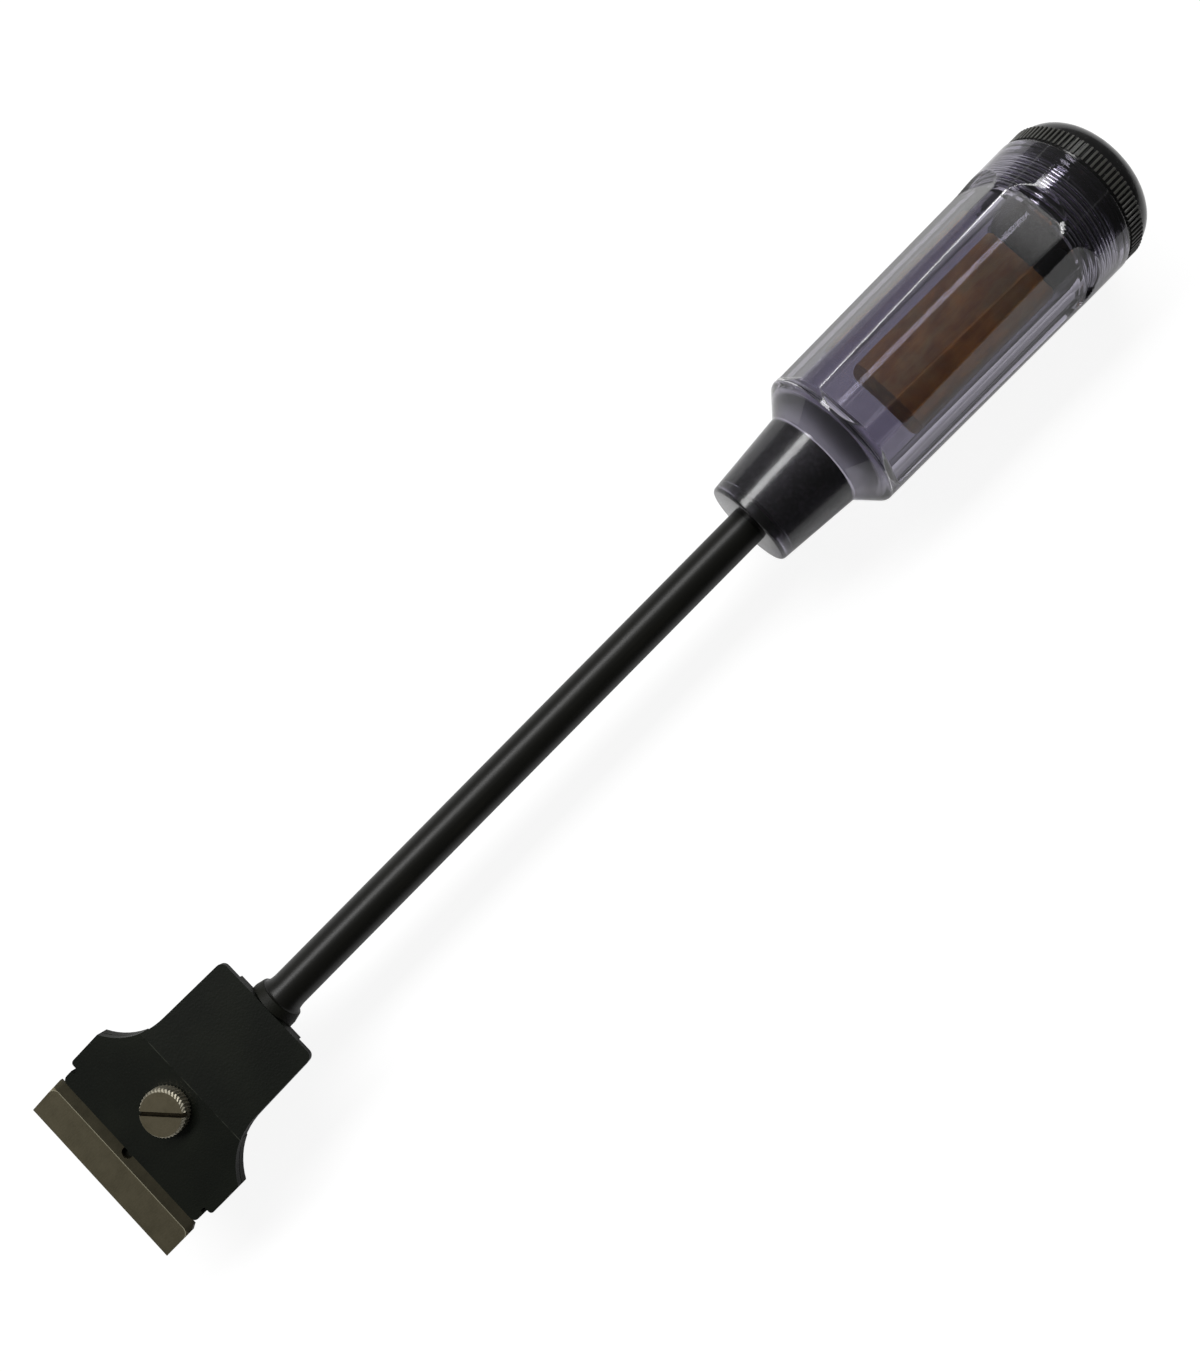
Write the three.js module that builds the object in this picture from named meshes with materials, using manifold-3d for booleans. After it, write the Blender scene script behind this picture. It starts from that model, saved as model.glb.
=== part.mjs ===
// Hand scraper: a replaceable blade, a steel shaft and a clear hollow handle that stores spare blades.
// X runs along the shaft from the blade to the cap, and Z points up on the side of the clamping screw.
// Lengths are millimetres. The tool lies on the plane z = 0, with x = 0 halfway along it.

import * as THREE from 'three';
import { mergeVertices } from 'three/addons/utils/BufferGeometryUtils.js';
import Module from 'manifold-3d';

const wasm = await Module();
wasm.setup();

// Blade
const bladeWidth = 40;
const bladeDepth = 17;
const bladeThickness = 1;
const bladeEdgeThickness = 0.12;
const bevelDepth = 7.4;
const shoulderDepth = 9.5;
const tangWidth = 37.6;
const cornerCutDepth = 1.2;
const rollOverWidth = 1.6;
const rollOverDrop = 0.22;
const bladeHoleDiameter = 2.5;
const bladeHoleFromEdge = 9.6;

// Clamp plate, measured from the line where the head is bent
const headBendAngle = THREE.MathUtils.degToRad(8);
const plateThickness = 1.5;
const plateFrontReach = 19;
const plateRearReach = 21.4;
const earWidth = 38.6;
const earLength = 2.7;
const earCornerRadius = 1.2;
const notchLength = 1.1;
const notchDepth = 0.8;
const wingWidth = 41;
const wingLength = 8.3;
const wingCornerRadius = 0.8;
const waistRadius = 14.3;
const blockFrontWidth = 26.6;
const blockRearWidth = 26;
const blockCornerRadius = 1.4;
const plateAboveShaft = 3.5;
const bladeProjection = 11.1;

// Lower jaw
const jawFloorThickness = 0.9;
const jawLipReach = 3;
const jawLipWidth = 36;
const jawLipChamfer = 0.6;
const jawRearSetback = 1.5;
const heelWidth = 17;
const heelSetback = 0.3;
const barrelDiameter = 10.8;
const barrelEndDiameter = 9.9;
const barrelStart = 3;
const bossReach = 2;
const ribWidth = 6;
const screwBossDiameter = 9;
const screwBossDepth = 3.5;
const spigotDiameter = 4.4;
const spigotLength = 14;

// Thumbscrew
const screwForward = 6.5;
const screwDiameter = 5;
const screwHeadDiameter = 9.9;
const screwHeadHeight = 3;
const screwChamferWidth = 0.5;
const screwChamferHeight = 0.7;
const screwKnurlDepth = 0.28;
const screwKnurlTeeth = 40;
const screwKnurlTwist = THREE.MathUtils.degToRad(9);
const screwTipChamfer = 0.5;
const slotWidth = 1.2;
const slotDepth = 1.1;
const slotAngle = THREE.MathUtils.degToRad(-45);

// Shaft
const shaftDiameter = 8;
const shaftExposedLength = 132.5;
const flareDiameter = 9.5;
const flareLength = 2.6;
const shaftEndFlatDepth = 0.6;
const shaftEndFlatLength = 9;
const shaftEndChamfer = 0.5;

// Core in the handle's neck
const coreSetback = 3.2;
const coreFrontDiameter = 14.4;
const coreFrontLength = 10.4;
const coreFlareLength = 4;
const coreRearDiameter = 17.2;
const coreRearLength = 1.4;
const coreWebThickness = 1.8;

// Handle
const neckFrontDiameter = 19.8;
const neckRearDiameter = 22.6;
const neckLength = 18.7;
const neckEdgeRadius = 0.8;
const shoulderLength = 5;
const shoulderEdgeRadius = 1;
const gripLength = 65.6;
const gripFrontDiameter = 32.6;
const gripRearDiameter = 33.6;
const mouthEdgeRadius = 0.5;
const flatCount = 6;
const flatFromAxis = 15.2;
const flatFrontMargin = 2;
const flatRearMargin = 10.9;
const flatCutWidth = 18.4;
const flatEndWidth = 14.3;
const flatCornerRadius = 2.6;
const flatRampAngle = THREE.MathUtils.degToRad(31);
const handleClocking = THREE.MathUtils.degToRad(-6);
const storageDiameter = 25;
const storageSetback = 1.1;
const storageCornerRadius = 1.2;

// Cap, its thread and its seal
const threadPitch = 1.5;
const threadDiameter = 26.6;
const threadDepth = 0.9;
const threadClearance = 0.3;
const plugLength = 10.6;
const plugLeadLength = 0.6;
const plugThreadLength = 6.7;
const plugRecessDiameter = 18;
const plugRecessDepth = 7.5;
const capHeight = 9.1;
const capKnurlDiameter = 33.2;
const capKnurlDepth = 0.35;
const capKnurlLength = 3.2;
const capKnurlTeeth = 92;
const capRimLength = 0.3;
const capDomeDiameter = 32.2;
const capCornerRadius = 7.6;
const capCrown = 0.1;
const sealCordDiameter = 1.4;
const sealSeatDepth = 2;

// Spare blades in their waxed paper wrap
const spareBladeCount = 5;
const wrapWall = 0.4;
const wrapEndSlack = 0.1;
const wrapSideBulge = 1.7;
const wrapTopBulge = 4;
const wrapFoldRadius = 3.4;
const wrapMouthHeight = 3;

// Clearances
const slidingGap = 0.05;
const plateEndGap = 0.2;
const jawReliefGap = 0.15;
const tangGap = 0.12;
const screwHoleGap = 0.25;
const mouldedGap = 0.2;
const plugEndGap = 0.5;
const capSeam = 0.2;
const storageGap = 0.1;
const packEndGap = 0.3;

// Counts and working allowances
const roundSegments = 48;
const smallSegments = 28;
const arcSteps = 6;
const threadRowsPerPitch = 5;
const threadSegments = 32;
const cutOverrun = 1;
const headCutSize = 120;
const mitreOverlap = 0.02;
const weldDistance = 1e-4;
const quarterTurn = Math.PI / 2;
const fullTurn = Math.PI * 2;

// Heights above the shaft's axis, in the head before it is bent
const plateTop = plateAboveShaft + plateThickness;
const plateMiddle = plateAboveShaft + plateThickness / 2;
const bladeTop = plateAboveShaft - slidingGap;
const bladeBottom = bladeTop - bladeThickness;
const jawFloor = bladeBottom - slidingGap;
const jawBottom = jawFloor - jawFloorThickness;
const jawTop = plateAboveShaft - slidingGap;
const jawFrontTop = jawTop - jawReliefGap;

// Places along the shaft, measured from the bend line of the head
const bladeEdgeX = -(plateFrontReach + bladeProjection);
const bladeBackX = bladeEdgeX + bladeDepth;
const bossEndX = plateRearReach + bossReach;
const handleX = bossEndX + shaftExposedLength;
const gripX = handleX + neckLength + shoulderLength;
const handleEndX = gripX + gripLength;
const capX = handleEndX + capSeam;
const capEndX = capX + capHeight;
const plugEndX = capX - plugLength;

// Turns the flat front of the head down about the bend line.
const bendMatrix = new THREE.Matrix4()
  .makeTranslation(0, 0, plateMiddle)
  .multiply(new THREE.Matrix4().makeRotationY(-headBendAngle))
  .multiply(new THREE.Matrix4().makeTranslation(0, 0, -plateMiddle));

const bladeTip = new THREE.Vector3(bladeEdgeX, 0, bladeBottom + bladeEdgeThickness)
  .applyMatrix4(bendMatrix);
const middleX = (bladeTip.x + capEndX) / 2;
const axisHeight = gripRearDiameter / 2;

function signedVolume(positions, corners) {
  const [a, b, c] = [new THREE.Vector3(), new THREE.Vector3(), new THREE.Vector3()];
  let volume = 0;
  for (let i = 0; i < corners.length; i += 3) {
    a.fromArray(positions, corners[i] * 3);
    b.fromArray(positions, corners[i + 1] * 3);
    c.fromArray(positions, corners[i + 2] * 3);
    volume += a.dot(b.cross(c));
  }
  return volume;
}

// Makes a solid of a closed geometry, with its seams welded and its faces pointing out.
function solid(geometry) {
  geometry.deleteAttribute('normal');
  geometry.deleteAttribute('uv');
  const welded = mergeVertices(geometry, weldDistance);
  const positions = welded.attributes.position.array;
  const found = welded.index.array;
  const corners = [];
  for (let i = 0; i < found.length; i += 3) {
    const [a, b, c] = [found[i], found[i + 1], found[i + 2]];
    if (a !== b && b !== c && c !== a) corners.push(a, b, c);
  }
  if (signedVolume(positions, corners) < 0) corners.reverse();
  const mesh = new wasm.Mesh({
    numProp: 3,
    vertProperties: Float32Array.from(positions),
    triVerts: Uint32Array.from(corners),
  });
  return new wasm.Manifold(mesh);
}

function geometryOf(body) {
  const mesh = body.getMesh();
  const geometry = new THREE.BufferGeometry();
  geometry.setAttribute('position', new THREE.Float32BufferAttribute(mesh.vertProperties, 3));
  geometry.setIndex(Array.from(mesh.triVerts));
  return geometry;
}

function moved(body, matrix) {
  return solid(geometryOf(body).applyMatrix4(matrix));
}

// Turns a profile of [x, radius] points, which starts and ends on the axis, about the X axis.
function turned(profile, segments = roundSegments) {
  const points = profile.map(([x, radius]) => new THREE.Vector2(radius, x));
  return solid(new THREE.LatheGeometry(points, segments).rotateZ(-quarterTurn));
}

function rod(startX, endX, radius, segments = smallSegments) {
  return turned([[startX, 0], [startX, radius], [endX, radius], [endX, 0]], segments);
}

function uprightRod(x, y, bottomZ, topZ, radius, segments = smallSegments) {
  const geometry = new THREE.CylinderGeometry(radius, radius, topZ - bottomZ, segments);
  return solid(geometry.rotateX(quarterTurn).translate(x, y, (bottomZ + topZ) / 2));
}

function box(lowX, highX, width, lowZ, highZ, middleY = 0) {
  const geometry = new THREE.BoxGeometry(highX - lowX, width, highZ - lowZ);
  return solid(geometry.translate((lowX + highX) / 2, middleY, (lowZ + highZ) / 2));
}

function shapeOf(points) {
  return new THREE.Shape(points.map(([x, y]) => new THREE.Vector2(x, y)));
}

// An outline of [x, y] points seen from above, given a thickness.
function slab(outline, bottomZ, topZ) {
  const options = { depth: topZ - bottomZ, bevelEnabled: false };
  return solid(new THREE.ExtrudeGeometry(shapeOf(outline), options).translate(0, 0, bottomZ));
}

// An outline of [x, z] points seen from the side, given a width centred on y = 0.
function sideSlab(outline, width) {
  const options = { depth: width, bevelEnabled: false };
  const geometry = new THREE.ExtrudeGeometry(shapeOf(outline), options);
  return solid(geometry.rotateX(quarterTurn).translate(0, width / 2, 0));
}

// A section of [y, z] points seen along the shaft, drawn out along X.
function barAlongX(section, startX, endX) {
  const options = { depth: endX - startX, bevelEnabled: false };
  const geometry = new THREE.ExtrudeGeometry(shapeOf(section), options);
  return solid(geometry.rotateZ(quarterTurn).rotateY(quarterTurn).translate(startX, 0, 0));
}

function arc(centreX, centreY, radiusX, radiusY, fromAngle, toAngle, steps = arcSteps) {
  const points = [];
  for (let i = 0; i <= steps; i += 1) {
    const angle = fromAngle + (toAngle - fromAngle) * i / steps;
    points.push([centreX + radiusX * Math.cos(angle), centreY + radiusY * Math.sin(angle)]);
  }
  return points;
}

function mirrored(halfOutline) {
  return halfOutline.concat(halfOutline.map(([x, y]) => [x, -y]).reverse());
}

// A rod with a rounded screw thread: each ring of a plain cylinder is drawn in and out along the helix.
function threadedRod(startX, endX, middleRadius) {
  const rows = Math.ceil((endX - startX) / threadPitch * threadRowsPerPitch);
  const length = endX - startX;
  const geometry = new THREE.CylinderGeometry(middleRadius, middleRadius, length,
    threadSegments, rows);
  geometry.rotateZ(-quarterTurn).translate((startX + endX) / 2, 0, 0);
  const place = geometry.attributes.position;
  for (let i = 0; i < place.count; i += 1) {
    const [x, y, z] = [place.getX(i), place.getY(i), place.getZ(i)];
    const radius = Math.hypot(y, z);
    if (radius < middleRadius / 2) continue;
    const phase = fullTurn * (x - capX) / threadPitch - Math.atan2(z, y);
    const scale = (middleRadius + threadDepth / 2 * Math.cos(phase)) / radius;
    place.setXYZ(i, x, y * scale, z * scale);
  }
  return solid(geometry);
}

// A cylinder along Z with knurled sides: every second column is drawn in, and the columns lean by the
// twist.
function knurledRod(bottomZ, topZ, diameter, depth, teeth, twist) {
  const radius = diameter / 2;
  const height = topZ - bottomZ;
  const geometry = new THREE.CylinderGeometry(radius, radius, height, teeth * 2, 1);
  geometry.rotateX(quarterTurn).translate(0, 0, (bottomZ + topZ) / 2);
  const place = geometry.attributes.position;
  for (let i = 0; i < place.count; i += 1) {
    const [x, y, z] = [place.getX(i), place.getY(i), place.getZ(i)];
    if (Math.hypot(x, y) < radius / 2) continue;
    const column = Math.round(Math.atan2(y, x) / fullTurn * teeth * 2 + teeth * 2);
    const angle = column / (teeth * 2) * fullTurn + twist * (z - bottomZ) / height;
    const reach = column % 2 === 0 ? radius : radius - depth;
    place.setXYZ(i, reach * Math.cos(angle), reach * Math.sin(angle), z);
  }
  return solid(geometry);
}

// Half of the space, beyond the mitre plane that halves the bend of the head.
function beyondMitre(side) {
  const geometry = new THREE.BoxGeometry(headCutSize, headCutSize, headCutSize);
  geometry.translate(side * (headCutSize / 2 + mitreOverlap), 0, 0);
  return solid(geometry.rotateY(-headBendAngle / 2).translate(0, 0, plateMiddle));
}

// Bends a flat piece of the head along the line x = 0, as a press brake does.
function bent(flat) {
  const front = moved(flat, bendMatrix).subtract(beyondMitre(1));
  const rear = flat.subtract(beyondMitre(-1));
  return rear.add(front);
}

// The outline that the clamp plate and the jaw share: ears, wings, a drawn-in waist and a straight block.
function headOutline(rearX) {
  const frontX = -plateFrontReach;
  const earHalf = earWidth / 2;
  const wingHalf = wingWidth / 2;
  const blockHalf = blockFrontWidth / 2;
  const notchX = frontX + earLength;
  const wingX = notchX + notchLength;
  const wingEndX = wingX + wingLength;
  const waistY = blockHalf + waistRadius;
  const waistReach = Math.sqrt(waistRadius ** 2 - (waistY - wingHalf) ** 2);
  const waistX = wingEndX + waistReach;
  const waistStart = Math.atan2(wingHalf - waistY, -waistReach);
  const rearHalf = blockRearWidth / 2;
  return mirrored([
    ...arc(frontX + earCornerRadius, earHalf - earCornerRadius, earCornerRadius, earCornerRadius,
      2 * quarterTurn, quarterTurn),
    [notchX, earHalf],
    [notchX, earHalf - notchDepth],
    [wingX, earHalf - notchDepth],
    ...arc(wingX + wingCornerRadius, wingHalf - wingCornerRadius, wingCornerRadius, wingCornerRadius,
      2 * quarterTurn, quarterTurn),
    ...arc(waistX, waistY, waistRadius, waistRadius, waistStart, -quarterTurn, 2 * arcSteps),
    ...arc(rearX - blockCornerRadius, rearHalf - blockCornerRadius, blockCornerRadius, blockCornerRadius,
      quarterTurn, 0),
  ]);
}

function makeClampPlate() {
  const plate = slab(headOutline(plateRearReach), plateAboveShaft, plateTop);
  const holeRadius = screwDiameter / 2 + screwHoleGap;
  const hole = uprightRod(-screwForward, 0, plateAboveShaft - cutOverrun, plateTop + cutOverrun,
    holeRadius);
  return bent(plate.subtract(hole));
}

// The jaw's front lip supports the blade ahead of the clamp plate.
function makeJawLip() {
  const frontX = -plateFrontReach - jawLipReach;
  const outline = [
    [-plateFrontReach + cutOverrun, jawBottom],
    [frontX + jawLipChamfer, jawBottom],
    [frontX, jawBottom + jawLipChamfer],
    [frontX, jawFloor],
    [-plateFrontReach + cutOverrun, jawFloor],
  ];
  return sideSlab(outline, jawLipWidth);
}

// The barrel that holds the shaft, with the rib that carries on under the head to the screw's boss.
function makeJawSpine() {
  const barrel = turned([
    [barrelStart, 0],
    [barrelStart, barrelDiameter / 2],
    [plateRearReach + plateEndGap, barrelDiameter / 2],
    [bossEndX, barrelEndDiameter / 2],
    [bossEndX, 0],
  ]);
  const bossBottom = jawBottom - screwBossDepth;
  const boss = uprightRod(-screwForward, 0, bossBottom, jawFloor, screwBossDiameter / 2);
  const rib = sideSlab([
    [-screwForward, bossBottom],
    [barrelStart + barrelDiameter / 2, -barrelDiameter / 2 + jawFloorThickness],
    [barrelStart + barrelDiameter / 2, jawFloor],
    [-screwForward, jawFloor],
  ], ribWidth);
  return barrel.add(rib).add(boss);
}

function makeLowerJaw() {
  const heelEndX = plateRearReach - heelSetback;
  const plateSpaceEndX = plateRearReach + plateEndGap;
  const plateSpace = box(-headCutSize, plateSpaceEndX, headCutSize, jawTop, headCutSize);
  const frontRelief = box(-headCutSize, -cutOverrun, headCutSize, jawFrontTop, headCutSize);
  const pocket = box(-headCutSize, bladeBackX + tangGap, tangWidth + 2 * tangGap, jawFloor, headCutSize);
  const screwBore = uprightRod(-screwForward, 0, -headCutSize, headCutSize,
    screwDiameter / 2 + slidingGap);
  const spigotBore = rod(bossEndX - spigotLength - cutOverrun, bossEndX + cutOverrun,
    spigotDiameter / 2 + slidingGap);
  const flat = slab(headOutline(plateRearReach - jawRearSetback), jawBottom, jawTop)
    .add(box(0, heelEndX, heelWidth, jawBottom, jawTop))
    .add(makeJawSpine())
    .subtract(plateSpace)
    .subtract(frontRelief)
    .subtract(pocket)
    .add(makeJawLip())
    .subtract(screwBore)
    .subtract(spigotBore);
  return bent(flat);
}

// A blade with its sharp edge along Y at x = 0 and its flat underside at z = 0.
function makeBlade() {
  const half = bladeWidth / 2;
  const tangHalf = tangWidth / 2;
  const outline = [
    [0, half],
    [0, -half],
    [shoulderDepth - cornerCutDepth, -half],
    [shoulderDepth, -(half + tangHalf) / 2],
    [shoulderDepth, -tangHalf],
    [bladeDepth, -tangHalf],
    [bladeDepth, tangHalf],
    [shoulderDepth, tangHalf],
    [shoulderDepth, half],
  ];
  const rolledEdge = arc(half - rollOverWidth, bladeThickness - rollOverDrop, rollOverWidth, rollOverDrop,
    0, quarterTurn);
  const section = [[half, 0], ...rolledEdge];
  const barSection = section.concat(section.map(([y, z]) => [-y, z]).reverse());
  const bevelSlope = (bladeThickness - bladeEdgeThickness) / bevelDepth;
  const bevel = sideSlab([
    [-cutOverrun, bladeEdgeThickness - bevelSlope * cutOverrun],
    [bevelDepth + cutOverrun, bladeThickness + bevelSlope * cutOverrun],
    [-cutOverrun, bladeThickness + bevelSlope * cutOverrun],
  ], bladeWidth + 2 * cutOverrun);
  const hole = uprightRod(bladeHoleFromEdge, 0, -cutOverrun, bladeThickness + cutOverrun,
    bladeHoleDiameter / 2, smallSegments / 2);
  return slab(outline, -cutOverrun, bladeThickness + cutOverrun)
    .intersect(barAlongX(barSection, 0, bladeDepth))
    .subtract(bevel)
    .subtract(hole);
}

// The screw stands on z = 0 under its head, with its shank below.
function makeThumbscrew() {
  const headRadius = screwHeadDiameter / 2;
  const chamferStart = screwHeadHeight - screwChamferHeight;
  const faceRadius = headRadius - screwChamferWidth;
  const shankBottom = jawBottom - screwBossDepth - plateTop;
  const knurled = knurledRod(0, screwHeadHeight, screwHeadDiameter, screwKnurlDepth, screwKnurlTeeth,
    screwKnurlTwist);
  const envelopeProfile = [
    new THREE.Vector2(0, shankBottom),
    new THREE.Vector2(screwDiameter / 2 - screwTipChamfer, shankBottom),
    new THREE.Vector2(screwDiameter / 2, shankBottom + screwTipChamfer),
    new THREE.Vector2(screwDiameter / 2, 0),
    new THREE.Vector2(headRadius, 0),
    new THREE.Vector2(headRadius, chamferStart),
    new THREE.Vector2(faceRadius, screwHeadHeight),
    new THREE.Vector2(0, screwHeadHeight),
  ];
  const envelope = solid(new THREE.LatheGeometry(envelopeProfile, smallSegments).rotateX(quarterTurn));
  const shank = uprightRod(0, 0, shankBottom, slidingGap, screwDiameter / 2);
  const slot = moved(
    box(-headRadius - cutOverrun, headRadius + cutOverrun, slotWidth,
      screwHeadHeight - slotDepth, screwHeadHeight + cutOverrun),
    new THREE.Matrix4().makeRotationZ(slotAngle),
  );
  return knurled.add(shank).intersect(envelope).subtract(slot);
}

// One flare and one long round bar, with two flats at the hidden end that stop it turning in the core.
function makeShaft() {
  const radius = shaftDiameter / 2;
  const flareRise = (flareDiameter - shaftDiameter) / 2;
  const flareX = bossEndX + slidingGap;
  const endX = handleX + coreSetback + coreFrontLength + coreFlareLength;
  const flare = arc(flareX + flareLength, radius + flareRise, flareLength, flareRise,
    2 * quarterTurn, 3 * quarterTurn);
  const bar = turned([
    [bossEndX - spigotLength, 0],
    [bossEndX - spigotLength, spigotDiameter / 2],
    [flareX, spigotDiameter / 2],
    ...flare,
    [endX - shaftEndChamfer, radius],
    [endX, radius - shaftEndChamfer],
    [endX, 0],
  ]);
  const flatZ = radius - shaftEndFlatDepth;
  const upperFlat = box(endX - shaftEndFlatLength, endX + cutOverrun, shaftDiameter + cutOverrun,
    flatZ, shaftDiameter);
  const lowerFlat = box(endX - shaftEndFlatLength, endX + cutOverrun, shaftDiameter + cutOverrun,
    -shaftDiameter, -flatZ);
  return bar.subtract(upperFlat).subtract(lowerFlat);
}

// The core's outside, grown by a gap where it is used to shape the handle around it.
function coreEnvelope(gap) {
  const frontX = handleX + coreSetback;
  const flareX = frontX + coreFrontLength;
  const rearX = flareX + coreFlareLength;
  const endX = rearX + coreRearLength;
  const frontRadius = coreFrontDiameter / 2 + gap;
  const rearRadius = coreRearDiameter / 2 + gap;
  return turned([
    [frontX - gap, 0],
    [frontX - gap, frontRadius],
    [flareX, frontRadius],
    [rearX, rearRadius],
    [endX + gap, rearRadius],
    [endX + gap, 0],
  ]);
}

function makeNeckCore() {
  const frontX = handleX + coreSetback;
  const shaftEndX = frontX + coreFrontLength + coreFlareLength;
  const boreEndX = shaftEndX + coreRearLength - coreWebThickness / 2;
  const boreRadius = shaftDiameter / 2 + slidingGap;
  const roundBore = rod(frontX - cutOverrun, shaftEndX - shaftEndFlatLength, boreRadius);
  const flatHeight = shaftDiameter - 2 * shaftEndFlatDepth + 2 * slidingGap;
  const keyedBore = rod(frontX, boreEndX, boreRadius)
    .intersect(box(frontX, boreEndX, shaftDiameter + cutOverrun, -flatHeight / 2, flatHeight / 2));
  return coreEnvelope(0).subtract(roundBore).subtract(keyedBore);
}

function handleEnvelope() {
  const neckFront = neckFrontDiameter / 2;
  const neckRear = neckRearDiameter / 2;
  const gripFront = gripFrontDiameter / 2;
  const gripRear = gripRearDiameter / 2;
  const shoulderX = handleX + neckLength;
  return turned([
    [handleX, 0],
    ...arc(handleX + neckEdgeRadius, neckFront - neckEdgeRadius, neckEdgeRadius, neckEdgeRadius,
      2 * quarterTurn, quarterTurn, arcSteps / 2),
    [shoulderX, neckRear],
    ...arc(gripX, gripFront - shoulderEdgeRadius, shoulderEdgeRadius, shoulderEdgeRadius,
      3 * quarterTurn / 2, quarterTurn, arcSteps / 2),
    [handleEndX - flatRearMargin, gripRear],
    ...arc(handleEndX - mouthEdgeRadius, gripRear - mouthEdgeRadius, mouthEdgeRadius, mouthEdgeRadius,
      quarterTurn, 0, arcSteps / 2),
    [handleEndX, 0],
  ]);
}

// Cuts one flat on the top of the grip: straight at the front, ramped with round corners towards the cap.
function flatCutter() {
  const rise = gripRearDiameter / 2 - flatFromAxis + cutOverrun;
  const run = rise / Math.tan(flatRampAngle);
  const startX = gripX + flatFrontMargin;
  const endX = handleEndX - flatRearMargin;
  const cornerX = endX - flatCornerRadius;
  const cornerY = flatEndWidth / 2 - flatCornerRadius;
  const top = flatFromAxis + rise;
  const straight = sideSlab([
    [startX, flatFromAxis],
    [cornerX, flatFromAxis],
    [cornerX, top],
    [startX - run, top],
  ], flatCutWidth);
  const ramp = sideSlab([
    [startX, flatFromAxis],
    [endX, flatFromAxis],
    [endX + run, top],
    [startX, top],
  ], 2 * cornerY);
  let cutter = straight.add(ramp);
  for (const side of [-1, 1]) {
    const cone = new THREE.CylinderGeometry(flatCornerRadius + run, flatCornerRadius, rise,
      roundSegments);
    cone.rotateX(quarterTurn).translate(cornerX, side * cornerY, flatFromAxis + rise / 2);
    cutter = cutter.add(solid(cone));
  }
  return cutter;
}

function makeHandle() {
  const storageX = gripX + storageSetback;
  const threadX = plugEndX - plugEndGap;
  const seatX = handleEndX - sealSeatDepth;
  const storageRadius = storageDiameter / 2;
  const seatRadius = threadDiameter / 2 + threadDepth / 2 + sealCordDiameter / 2;
  const storage = turned([
    [storageX, 0],
    ...arc(storageX + storageCornerRadius, storageRadius - storageCornerRadius,
      storageCornerRadius, storageCornerRadius, 2 * quarterTurn, quarterTurn, arcSteps / 2),
    [threadX + cutOverrun, storageRadius],
    [threadX + cutOverrun, 0],
  ]);
  const shaftHole = rod(handleX - cutOverrun, handleX + coreSetback, shaftDiameter / 2 + slidingGap);
  let handle = handleEnvelope()
    .subtract(storage)
    .subtract(threadedRod(threadX, handleEndX + cutOverrun, threadDiameter / 2 + threadClearance))
    .subtract(rod(seatX, handleEndX + cutOverrun, seatRadius, roundSegments))
    .subtract(coreEnvelope(mouldedGap))
    .subtract(shaftHole);
  const cutter = flatCutter();
  for (let i = 0; i < flatCount; i += 1) {
    const turn = new THREE.Matrix4().makeRotationX(handleClocking + i * fullTurn / flatCount);
    handle = handle.subtract(moved(cutter, turn));
  }
  return handle;
}

function makeCap() {
  const plugRadius = threadDiameter / 2 - threadDepth / 2;
  const rimRadius = capKnurlDiameter / 2 - capKnurlDepth;
  const knurlX = capX + capRimLength;
  const domeX = knurlX + capKnurlLength;
  const domeRadius = capDomeDiameter / 2;
  const cornerLength = capEndX - capCrown - domeX;
  const threadX = plugEndX + plugLeadLength;
  const body = turned([
    [plugEndX, 0],
    [plugEndX, plugRadius],
    [capX, plugRadius],
    [capX, rimRadius],
    [domeX, rimRadius],
    [domeX, domeRadius],
    ...arc(domeX, domeRadius - capCornerRadius, cornerLength, capCornerRadius, quarterTurn, 0),
    [capEndX, 0],
  ]);
  const knurl = moved(
    knurledRod(knurlX, domeX, capKnurlDiameter, capKnurlDepth, capKnurlTeeth, 0),
    new THREE.Matrix4().makeRotationY(quarterTurn),
  );
  const recess = rod(plugEndX - cutOverrun, plugEndX + plugRecessDepth, plugRecessDiameter / 2);
  const thread = threadedRod(threadX, threadX + plugThreadLength, threadDiameter / 2);
  return body.add(thread).add(knurl).subtract(recess);
}

function makeCapSeal() {
  const innerRadius = threadDiameter / 2 - threadDepth / 2 + slidingGap;
  const cordRadius = sealCordDiameter / 2;
  const ring = new THREE.TorusGeometry(innerRadius + cordRadius, cordRadius, arcSteps, smallSegments);
  return solid(ring.rotateY(quarterTurn).translate(capX - cordRadius - slidingGap, 0, 0));
}

// The wrap's folds come in under the lowest blade, so the stack lies a little above the wrap's floor.
const innerFoldRadius = wrapFoldRadius - wrapWall;
const bladeOverhang = Math.max(0, innerFoldRadius - wrapSideBulge);
const stackLift = innerFoldRadius - Math.sqrt(innerFoldRadius ** 2 - bladeOverhang ** 2) + slidingGap;
const stackHeight = spareBladeCount * (bladeThickness + slidingGap);

// Outside sizes of the loose paper wrap around the stack of spare blades
const wrapWidth = bladeDepth + 2 * (wrapSideBulge + wrapWall);
const wrapLength = bladeWidth + 2 * (wrapEndSlack + wrapWall);
const wrapHeight = stackLift + stackHeight + wrapTopBulge + 2 * wrapWall;
const wrapEndX = plugEndX - packEndGap;
const wrapX = wrapEndX - wrapLength;

// The wrap lies at the bottom of the round store, on its two lower folds.
const foldReach = storageDiameter / 2 - storageGap - wrapFoldRadius;
const wrapBottom = -Math.sqrt(foldReach ** 2 - (wrapWidth / 2 - wrapFoldRadius) ** 2) - wrapFoldRadius;
const wrapTop = wrapBottom + wrapHeight;

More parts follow.
